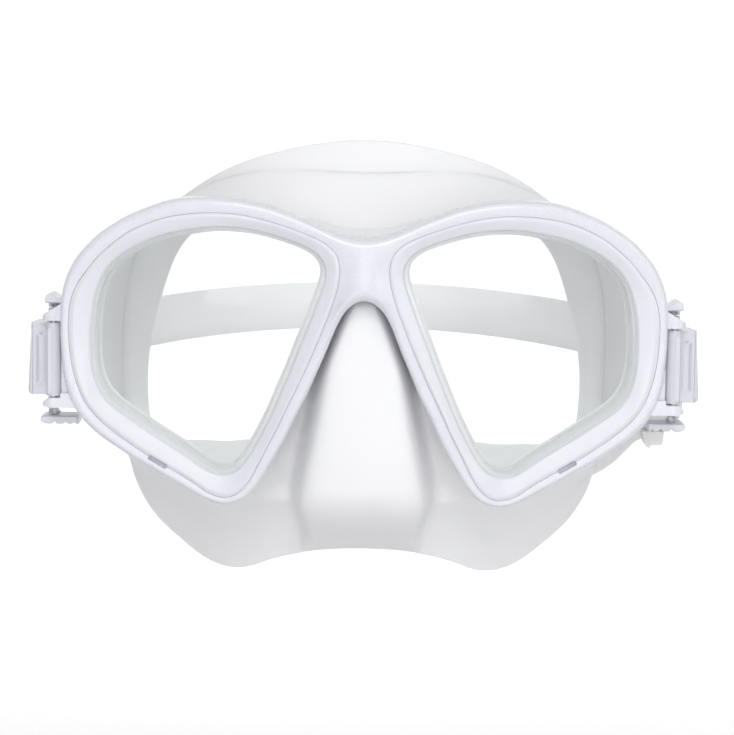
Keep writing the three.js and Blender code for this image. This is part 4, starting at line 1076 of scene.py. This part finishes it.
def carve(base, ops=(), ease=0.25, seg=3, angle=32, clean=0.02):
    """Joins (+), cuts (-) or intersects (*) plain solids, then rounds every edge by `ease` millimetres."""
    o = temp(*base)
    tools = []
    for kind, (v, f) in ops:
        t = temp(v, f)
        tools.append(t)
        md = o.modifiers.new("b", "BOOLEAN")
        md.operation = {"+": "UNION", "-": "DIFFERENCE", "*": "INTERSECT"}[kind]
        md.solver, md.object = "EXACT", t
    me = evaluated(o)
    for t in tools + [o]:
        d = t.data
        bpy.data.objects.remove(t); bpy.data.meshes.remove(d)
    bm = bmesh.new(); bm.from_mesh(me)
    bmesh.ops.remove_doubles(bm, verts=bm.verts, dist=clean)
    bmesh.ops.dissolve_limit(bm, angle_limit=rad(0.6), verts=bm.verts, edges=bm.edges)
    bm.to_mesh(me); bm.free()
    o = bpy.data.objects.new("t", me)
    bpy.context.scene.collection.objects.link(o)
    if ease > 0:
        b = o.modifiers.new("e", "BEVEL")
        b.width, b.segments, b.limit_method, b.angle_limit, b.use_clamp_overlap = ease, seg, "ANGLE", rad(angle), True
        b.miter_outer = "MITER_ARC"
    me2 = evaluated(o)
    v = np.array([p.co for p in me2.vertices], float)
    f = [tuple(p.vertices) for p in me2.polygons]
    bpy.data.objects.remove(o); bpy.data.meshes.remove(me); bpy.data.meshes.remove(me2)
    return v, f

def weigh(o, angle=50):
    """Corner normals averaged by face area, so broad faces stay flat and the eased edges carry the turn."""
    me = o.data
    bm = bmesh.new(); bm.from_mesh(me)
    bm.faces.ensure_lookup_table()
    lim = math.cos(rad(angle))
    out = []
    for f in bm.faces:
        for l in f.loops:
            n = Vector((0, 0, 0))
            for g in l.vert.link_faces:
                if g.normal.dot(f.normal) > lim:
                    n += g.normal * g.calc_area()
            out.append(tuple(n.normalized()) if n.length > 1e-20 else tuple(f.normal))
    bm.free()
    me.normals_split_custom_set(out)

def turned(prof, x, y, n=40, close=False):
    """Turned piece along z: prof is (radius, z) from one end to the other."""
    a = np.arange(n) * 2 * np.pi / n
    rows = [np.column_stack([x + r * np.cos(a), y + r * np.sin(a), np.full(n, z)]) for r, z in prof]
    if close:
        B = Build(); B.loft(rows, ring=True)
        v, f = B.done()
        return (v, f) if volume(v, f) > 0 else (v, [q[::-1] for q in f])
    return tube_between(rows)

# =========================================================================== hinge ears and buckles (drawn on the right, mirrored for the left)
PIV_P, PIV_Q, PAWL_P, PAWL_Q, BOSS_P, BOSS_Q = 82.4, 13.0, 85.25, 30.2, 83.2, 25.0

def ear(s):
    nose = [(PIV_P + 3 * math.cos(rad(a)), PIV_Q + 3 * math.sin(rad(a))) for a in range(-100, 101, 10)]
    root = [(75.5 if s > 0 else 72.5, 17.6), (75.5 if s > 0 else 72.5, 9.4)]
    plan = along_z(nose + root, 9 if s > 0 else -15, 15 if s > 0 else -9)
    if s > 0:
        front = [(70, 10.25), (85.36, 10.25), (85.42, 11.3), (85.3, 11.62), (84.9, 11.95), (81.3, 14.05), (80.7, 14.35), (79.9, 14.5), (70, 14.5)]
    else:
        front = [(70, -10.3), (82.9, -10.3), (83.7, -10.5), (84.4, -10.85), (84.95, -11.35), (85.25, -11.9), (85.22, -12.3), (84.85, -12.6), (84.2, -12.82), (83.4, -12.9), (70, -12.9)]
    if s < 0:                          # cheek that closes the flank between the ears
        plan = carve(plan, [("+", along_z([(72.5, 12.4), (80.2, 12.4), (80.25, 17.2), (72.5, 17.6)], -10.6, -1.0))], ease=0)
        front = [(70, -0.5), (80.3, -0.5), (80.3, -10.2), (80.6, -10.3)] + front[1:]
    bore = along_z(circle(PIV_P, PIV_Q, 1.15), 8, 12.45) if s > 0 else along_z(circle(PIV_P, PIV_Q, 1.15), -16, -8)
    return carve(plan, [("*", along_y(front, 0, 30)), ("-", bore)], ease=0.3)

def buckle_body():
    ops = [("+", along_z(circle(PIV_P, PIV_Q, 1.9, 48), -9.85, 9.7)),
           ("+", along_z([(81.3, 13.8), (84.15, 13.8), (84.15, 16.4), (81.3, 16.4)], -9.7, 9.0)),
           ("+", along_y(rrect(82.5, 83.75, -9.3, 8.3, 0.55, 5), 10.85, 15.5)),
           ("-", block(82.15, 95, 17.0, 40, -7.6, 7.6)),
           ("-", along_y(rrect(83.55, 88.6, -8.9, 8.1, 1.6), 14.0, 15.5, rrect(85.4, 86.6, -6.6, 5.9, 0.55))),
           ("-", along_z(circle(PIV_P, PIV_Q, 1.15), -12, 12))]
    for s in (1, -1):
        z = lambda a, b: (a, b) if s > 0 else (-b, -a)
        ops += [("+", along_z(circle(BOSS_P, BOSS_Q, 2.0), *z(9.5, 12.4))), ("-", along_z(circle(BOSS_P, BOSS_Q, 1.65), *z(9.9, 20)))]
    ops += [("-", along_z(circle(ROLL_P, ROLL_Q, 0.55, 24), -12, 12)), ("-", along_z(circle(PAWL_P, PAWL_Q, 1.1, 28), -12, 12))]
    def front(top, low):
        return [(88.2, low), (88.2, top)] + rrect(81.2, 87, low, top, 1.5)[8:24]
    return carve(along_y(front(9.3, -9.9), 14.9, 34, front(8.7, -9.9)), ops, ease=0.24)

def buckle_cover():
    """Slanted outer plate with a shallow thumb dish."""
    outl = np.array(rrect(14.6, 34.0, -9.98, 9.4, 1.6, 8))
    outl[:, 1] = np.where(outl[:, 1] > 0, outl[:, 1] * (1 - 0.075 * (outl[:, 0] - 14.6) / 19.4), outl[:, 1])
    n = len(outl)
    def face(P, d):
        c = np.sqrt(1 - np.clip((np.abs(P[:, 1] + 0.3) - 8.0) / 1.72, 0, 1) ** 2)
        return np.maximum(88.62, 89.22 - 0.058 * P[:, 1] - 0.35 * ((P[:, 0] - 24.3) / 9.7) ** 2 - 0.85 * (1 - c) - d)
    def row(P, p):
        return np.column_stack([np.broadcast_to(p, len(P)), P[:, 0], P[:, 1]])
    B = Build()
    rows = [row(grow(outl, -0.1), 88.24), row(grow(outl, -0.03), 88.28), row(outl, 88.36)]
    for k in range(7):
        a = math.pi / 2 * k / 6
        P = grow(outl, -0.75 * (1 - math.cos(a)))
        rows.append(row(P, np.maximum(88.42 + 0.02 * k, face(P, 0.6 * (1 - math.sin(a))))))
    ids = B.loft(rows)
    B.cap(ids[0], True)
    inner = grow(outl, -0.75)
    P, T = fill(inner, [], 0.8, 0.45)
    ell = np.hypot((P[:, 0] - 24.3) / 6.6, P[:, 1] / 6.4)
    dish = 0.42 * np.clip((1.0 - ell) / 0.28, 0, 1)
    dish = np.where(dish > 0, 0.42 * (3 * (dish / 0.42) ** 2 - 2 * (dish / 0.42) ** 3), 0)
    rib = 0.2 * np.exp(-(((P[:, 0] - 24.3 + 1.3) % 2.6 - 1.3) / 0.42) ** 2) * np.clip((0.78 - ell) / 0.12, 0, 1)
    add = B.add(row(P, face(P, dish - rib)))
    idx = add.copy(); idx[:n] = ids[-1]
    B.f += [tuple(idx[t]) for t in T]
    v, f = B.done()
    used = np.zeros(len(v), bool)
    for x in f:
        used[list(x)] = True
    m = np.cumsum(used) - 1
    v, f = v[used], [tuple(m[list(x)]) for x in f]
    bm = bmesh.new(); me = bpy.data.meshes.new("t"); me.from_pydata(v.tolist(), [], f); bm.from_mesh(me)
    bmesh.ops.recalc_face_normals(bm, faces=bm.faces)
    bm.verts.ensure_lookup_table()
    f = [tuple(l.vert.index for l in x.loops) for x in bm.faces]
    bm.free(); bpy.data.meshes.remove(me)
    return v, f

def roller():
    n = 56
    a = np.arange(n) * 2 * np.pi / n
    r = 0.965 + 0.035 * np.cos(14 * a)
    def ringrow(rr, z):
        return np.column_stack([ROLL_P + rr * np.cos(a), ROLL_Q + rr * np.sin(a), np.full(n, z)])
    rows = [ringrow(0.7, -7.2), ringrow(0.74, -7.3), ringrow(0.88, -7.3), ringrow(r * 0.97, -7.2), ringrow(r, -7.0)]
    rows += [ringrow(r, z) for z in (-3.5, 0, 3.5)]
    rows += [ringrow(r, 7.0), ringrow(r * 0.97, 7.2), ringrow(0.88, 7.3), ringrow(0.74, 7.3), ringrow(0.7, 7.2)]
    B = Build(); B.loft(rows, ring=True)
    return B.done()

def pawl():
    arm = [(PAWL_P - 0.2, PAWL_Q - 0.8), (PAWL_P + 0.75, PAWL_Q - 0.3), (PAWL_P + 0.92, PAWL_Q + 0.9), (PAWL_P + 0.72, PAWL_Q + 1.15), (PAWL_P + 1.0, PAWL_Q + 2.0), (PAWL_P + 0.5, PAWL_Q + 2.6), (PAWL_P - 0.4, PAWL_Q + 0.7)]
    return carve(along_z(circle(PAWL_P, PAWL_Q, 0.8, 32), -10.9, 10.9),
                 [("+", along_z(circle(PAWL_P, PAWL_Q, 0.98, 32), -6.8, 6.8)), ("+", along_z(arm, -6.7, 6.7))], ease=0.1, seg=2)

def tab(s):
    """Finger tab: a domed button above, a grooved paddle below."""
    if s > 0:
        prof = [(79.4, 13.7), (81.5, 13.72), (83, 13.9), (85.4, 13.95), (85.75, 14.05), (86.0, 14.35), (86.05, 14.8), (85.97, 15.3), (85.72, 15.8), (85.3, 16.25), (84.8, 16.55), (84.3, 16.65), (83.8, 16.55),
                (83.4, 16.25), (83.05, 15.9), (82.5, 15.7), (81.5, 15.7), (79.4, 15.8)]
    else:
        prof = [(76.8, -16.4), (80, -16.4), (85.9, -16.4), (86.5, -16.5), (86.95, -16.85), (87.1, -17.35), (86.95, -17.9), (86.55, -18.35), (86.0, -18.65), (85.3, -18.75)]
        for c in (83.3, 80.2, 77.9):
            prof += [(c + 0.8, -18.75), (c + 0.45, -18.6), (c + 0.2, -18.2), (c, -18.05), (c - 0.2, -18.2), (c - 0.45, -18.6), (c - 0.8, -18.75)]
        prof += [(76.8, -18.7)]
    P = np.array(prof)
    P = dense_open(P)
    c = P.mean(0)
    n = len(P)
    q0, q1 = 21.4, 31.6
    rows = []
    L = 1.6
    for k in range(8):                   # rounded front end, then straight, then rounded back end
        a = math.pi / 2 * k / 7
        sc = (1 - 0.115 * (1 - math.sin(a)), 1 - 0.34 * (1 - math.sin(a)))
        rows.append((q0 + L * (1 - math.cos(a)), sc))
    rows += [(q, (1, 1)) for q in (24.5, 26.5, 28.5)]
    for k in range(8):
        a = math.pi / 2 * (1 - k / 7)
        sc = (1 - 0.115 * (1 - math.sin(a)), 1 - 0.34 * (1 - math.sin(a)))
        rows.append((q1 - L * (1 - math.cos(a)), sc))
    mid = np.array([(P[:, 0].min() + P[:, 0].max()) / 2, (P[:, 1].min() + P[:, 1].max()) / 2])
    R = []
    for q, (sx, sz) in rows:
        X = mid + (P - mid) * [sx, sz]
        R.append(np.column_stack([X[:, 0], np.full(n, q), X[:, 1]]))
    B = Build()
    ids = B.loft(R)
    for e, row in ((0, R[0]), (-1, R[-1])):
        X = row[:, [0, 2]]
        G, T = fill(X, [], 0.55, 0.22)
        k = B.add(np.column_stack([G[:, 0], np.full(len(G), row[0, 1]), G[:, 1]]))
        k = k.copy(); k[:n] = ids[e]
        B.f += [tuple(k[t]) if e == 0 else tuple(k[t][::-1]) for t in T]
    v, f = B.done()
    used = np.zeros(len(v), bool)
    for x in f:
        used[list(x)] = True
    m = np.cumsum(used) - 1
    v, f = v[used], [tuple(m[list(x)]) for x in f]
    bm = bmesh.new(); me = bpy.data.meshes.new("t"); me.from_pydata(v.tolist(), [], f); bm.from_mesh(me)
    bmesh.ops.recalc_face_normals(bm, faces=bm.faces)
    f = [tuple(l.vert.index for l in x.loops) for x in bm.faces]
    bm.free(); bpy.data.meshes.remove(me)
    z = lambda a, b: (a, b) if s > 0 else (-b, -a)
    e = 14.3 if s > 0 else 17.2
    st = turned([(0.66, 11.4), (0.8, 11.55), (0.8, e)], BOSS_P, BOSS_Q, 28)
    fi = turned([(0.58, 12.3), (0.7, 12.42), (0.7, e)], PAWL_P - 0.2, PAWL_Q - 0.4, 24)
    if s < 0:
        st = (st[0] * [1, 1, -1], [x[::-1] for x in st[1]]); fi = (fi[0] * [1, 1, -1], [x[::-1] for x in fi[1]])
    return carve((v, f), [("+", st), ("+", fi)], ease=0, clean=0.001)

def dense_open(P, per=2):
    """Closed outline with extra points, corners kept."""
    out = []
    n = len(P)
    for i in range(n):
        a, b = P[i], P[(i + 1) % n]
        k = max(1, int(round(np.linalg.norm(b - a) / 0.5)))
        for t in range(k):
            out.append(a + (b - a) * t / k)
    return np.array(out)

def coil(z1):
    """Compression spring with closed, ground ends."""
    turns, per, r, R = 4.4, 26, 0.2, 1.24
    n = int(turns * per)
    z0 = 10.35
    P = []
    for i in range(n + 1):
        u = i / n * turns
        k = min(max((u - 0.6) / (turns - 1.2), 0), 1)
        z = z0 + (z1 - z0) * (0.06 * min(u, 0.6) / 0.6 + 0.88 * (k - 0.045 * math.sin(2 * math.pi * k) / 1.0) + 0.06 * max(0, (u - turns + 0.6)) / 0.6)
        P.append((R * math.cos(2 * math.pi * u), R * math.sin(2 * math.pi * u), z))
    P = np.array(P)
    T = np.gradient(P, axis=0); T /= np.linalg.norm(T, axis=1)[:, None]
    rad_ = P * [1, 1, 0]; rad_ /= np.linalg.norm(rad_, axis=1)[:, None]
    up = np.cross(T, rad_)
    rows = []
    for i in range(n + 1):
        rows.append([P[i] + [BOSS_P, BOSS_Q, 0] + r * (math.cos(b) * rad_[i] + math.sin(b) * up[i]) for b in np.arange(10) * 2 * math.pi / 10])
    return tube_between([np.array(x) for x in rows])

def pad():
    prof = np.array([(75.4, -18.6), (81.4, -18.6), (81.1, -21.9), (80.7, -22.5), (77.9, -22.6), (77.5, -23.4), (76.6, -22.9), (75.9, -21.6)])
    return carve(along_y(prof, 22.6, 30.4), ease=0.55, seg=4, angle=20)

def piece(name, vf, mat, body, slot, replaces=(), soft=50, sharp=45, sides=("left", "right")):
    out = []
    for side in sides:
        o = put(name.format(side), vf[0], vf[1], mat, body.format(side), slot, [r.format(side) for r in replaces], sharp=sharp, mirror=(side == "left"))
        if soft:
            weigh(o, soft)
        out.append(o)
    return out

for s, up in ((1, "upper"), (-1, "lower")):
    piece("hinge_ear_" + up + "_{}", ear(s), PLASTIC, "root", "frame_plastic")
piece("swivel_pin_{}", turned([(0.3, -13.0), (0.62, -12.98), (0.85, -12.8), (0.85, 12.0), (0.7, 12.2), (0.3, 12.22)], PIV_P, PIV_Q, 40), STEEL, "root", "steel", ["pivot_pin_{}"], soft=35)
piece("buckle_yoke_{}", buckle_body(), BUCKLE, "buckle_{}", "buckle_plastic", ["buckle_body_{}"])
piece("buckle_plate_{}", buckle_cover(), BUCKLE, "buckle_{}", "buckle_plastic", ["buckle_cover_{}"], soft=0, sharp=0)
piece("axle_pin_{}", turned([(0.2, -9.6), (0.34, -9.58), (0.42, -9.45), (0.42, 8.75), (0.34, 8.88), (0.2, 8.9)], ROLL_P, ROLL_Q, 28), STEEL, "buckle_{}", "steel", ["roller_axle_{}"], soft=35)
piece("splined_roller_{}", roller(), BUCKLE, "roller_{}", "buckle_plastic", ["strap_roller_{}"], soft=0, sharp=50)
piece("pawl_bar_{}", pawl(), BUCKLE, "pawl_{}", "buckle_plastic", ["ratchet_pawl_{}"])
for s, up in ((1, "upper"), (-1, "lower")):
    v, f = tab(s)
    piece("finger_tab_" + up + "_{}", (v, f), TABS, "tab_" + up + "_{}", "buckle_plastic", ["release_tab_" + up + "_{}"], soft=40, sharp=42)
    top = 14.0 if s > 0 else 16.5
    v, f = coil(top)
    if s < 0:
        v, f = v * [1, 1, -1], [x[::-1] for x in f]
    for o, side in zip(piece("coil_spring_" + up + "_{}", (v, f), STEEL, "buckle_{}", "steel", ["tab_spring_" + up + "_{}"], soft=0, sharp=60), ("left", "right")):
        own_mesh(o)
v, f = pad()
piece("tab_grip_pad_{}", (v, f), WARM, "tab_lower_{}", "silicone", ["tab_pad_{}"], sides=("right",))

# =========================================================================== stage and light
def stage():
    B = Build()
    path = [(-3000, -260)]
    path += [(420 + 380 * math.sin(rad(a)), -260 + 380 * (1 - math.cos(rad(a)))) for a in range(0, 91, 6)]
    path += [(800, 1500), (800, 3200)]
    rows = []
    for y, z in path:
        rows.append(np.array([[-3500, y, z], [-1200, y, z], [0, y, z], [1200, y, z], [3500, y, z]]))
    ids = [B.add(r) for r in rows]
    for a, b in zip(ids, ids[1:]):
        B.strip(a, b, close=False)
    m, nt = nodes_of("cyclorama")
    N = Net(nt)
    g = N("ShaderNodeNewGeometry").outputs["Position"]
    sx = N("ShaderNodeSeparateXYZ", ins={0: g})
    # Painted light: the back of the cyclorama behind the mask glows (emission 1.12) in place of a lamp-lit white
    # backdrop. The glow fades out towards the front (y 0.62 down to 0.38 m), at the sides (|x| 0.5 to 1.1 m) and
    # upwards (z 0.22 to 0.65 m), leaving a plain diffuse floor elsewhere.
    f = remap(N, sx.outputs[1], 0.38, 0.62)
    ax = N("ShaderNodeMath", operation="ABSOLUTE", ins={0: sx.outputs[0]})
    f = N("ShaderNodeMath", operation="MULTIPLY", ins={0: f, 1: remap(N, ax.outputs[0], 1.1, 0.5)}).outputs[0]
    f = N("ShaderNodeMath", operation="MULTIPLY", ins={0: f, 1: remap(N, sx.outputs[2], 0.65, 0.22)}).outputs[0]
    n1 = noise(N, N("ShaderNodeTexCoord").outputs["Object"], 3.0, 3.0)
    col = mixc(N, n1, (0.80, 0.80, 0.805, 1), (0.84, 0.84, 0.845, 1))
    d = N("ShaderNodeBsdfDiffuse", ins={"Color": col})
    e = N("ShaderNodeEmission", ins={"Color": (1, 1, 1, 1), "Strength": 1.12})
    mx = N("ShaderNodeMixShader", ins={0: f, 1: d.outputs[0], 2: e.outputs[0]})
    N("ShaderNodeOutputMaterial", ins={"Surface": mx.outputs[0]})
    v, f = B.done()
    v[:, 1] += SEAL_Y
    o = put("studio_floor", v, f, m, ride=False, sharp=0, fix=False)
stage()

def area(name, loc, target, size, power, color=(1, 1, 1), shape="RECTANGLE", size_y=None):
    l = bpy.data.lights.new(name, "AREA")
    l.shape = shape
    l.size = size
    l.size_y = size_y or size
    l.energy = power
    l.color = color
    o = bpy.data.objects.new(name, l)
    bpy.context.scene.collection.objects.link(o)
    o.location = loc
    o.rotation_mode = "QUATERNION"
    o.rotation_quaternion = (Vector(target) - Vector(loc)).to_track_quat("-Z", "Y")
    return o

area("front", (0.0, -1.5, 0.45), (0, 0, 0), 0.9, 2.3, size_y=0.6)
area("low_front", (0.0, -1.5, -0.2), (0, 0, 0), 0.9, 2.75, size_y=0.4)
area("right", (1.15, -0.85, 0.35), (0, 0, 0), 0.7, 2.4, size_y=1.0)
area("high_front", (0.0, -1.25, 1.0), (0, 0, 0), 0.8, 7.6, size_y=0.5)

world = bpy.data.worlds.new("studio")
bpy.context.scene.world = world
world.use_nodes = True
world.node_tree.nodes.clear()
N = Net(world.node_tree)
up = N("ShaderNodeSeparateXYZ", ins={0: N("ShaderNodeTexCoord").outputs["Generated"]}).outputs[2]
bg = N("ShaderNodeBackground", ins={"Color": (0.98, 0.985, 1.0, 1), "Strength": remap(N, up, -0.2, 0.8, 0.50, 0.56)})
N("ShaderNodeOutputWorld", ins={"Surface": bg.outputs[0]})

sc = bpy.context.scene
sc.view_settings.view_transform = "Standard"
sc.view_settings.look = "None"
sc.view_settings.exposure = 0.0
sc.view_settings.gamma = 1.0
sc.cycles.max_bounces = 12
sc.cycles.diffuse_bounces = 6
sc.cycles.transparent_max_bounces = 24
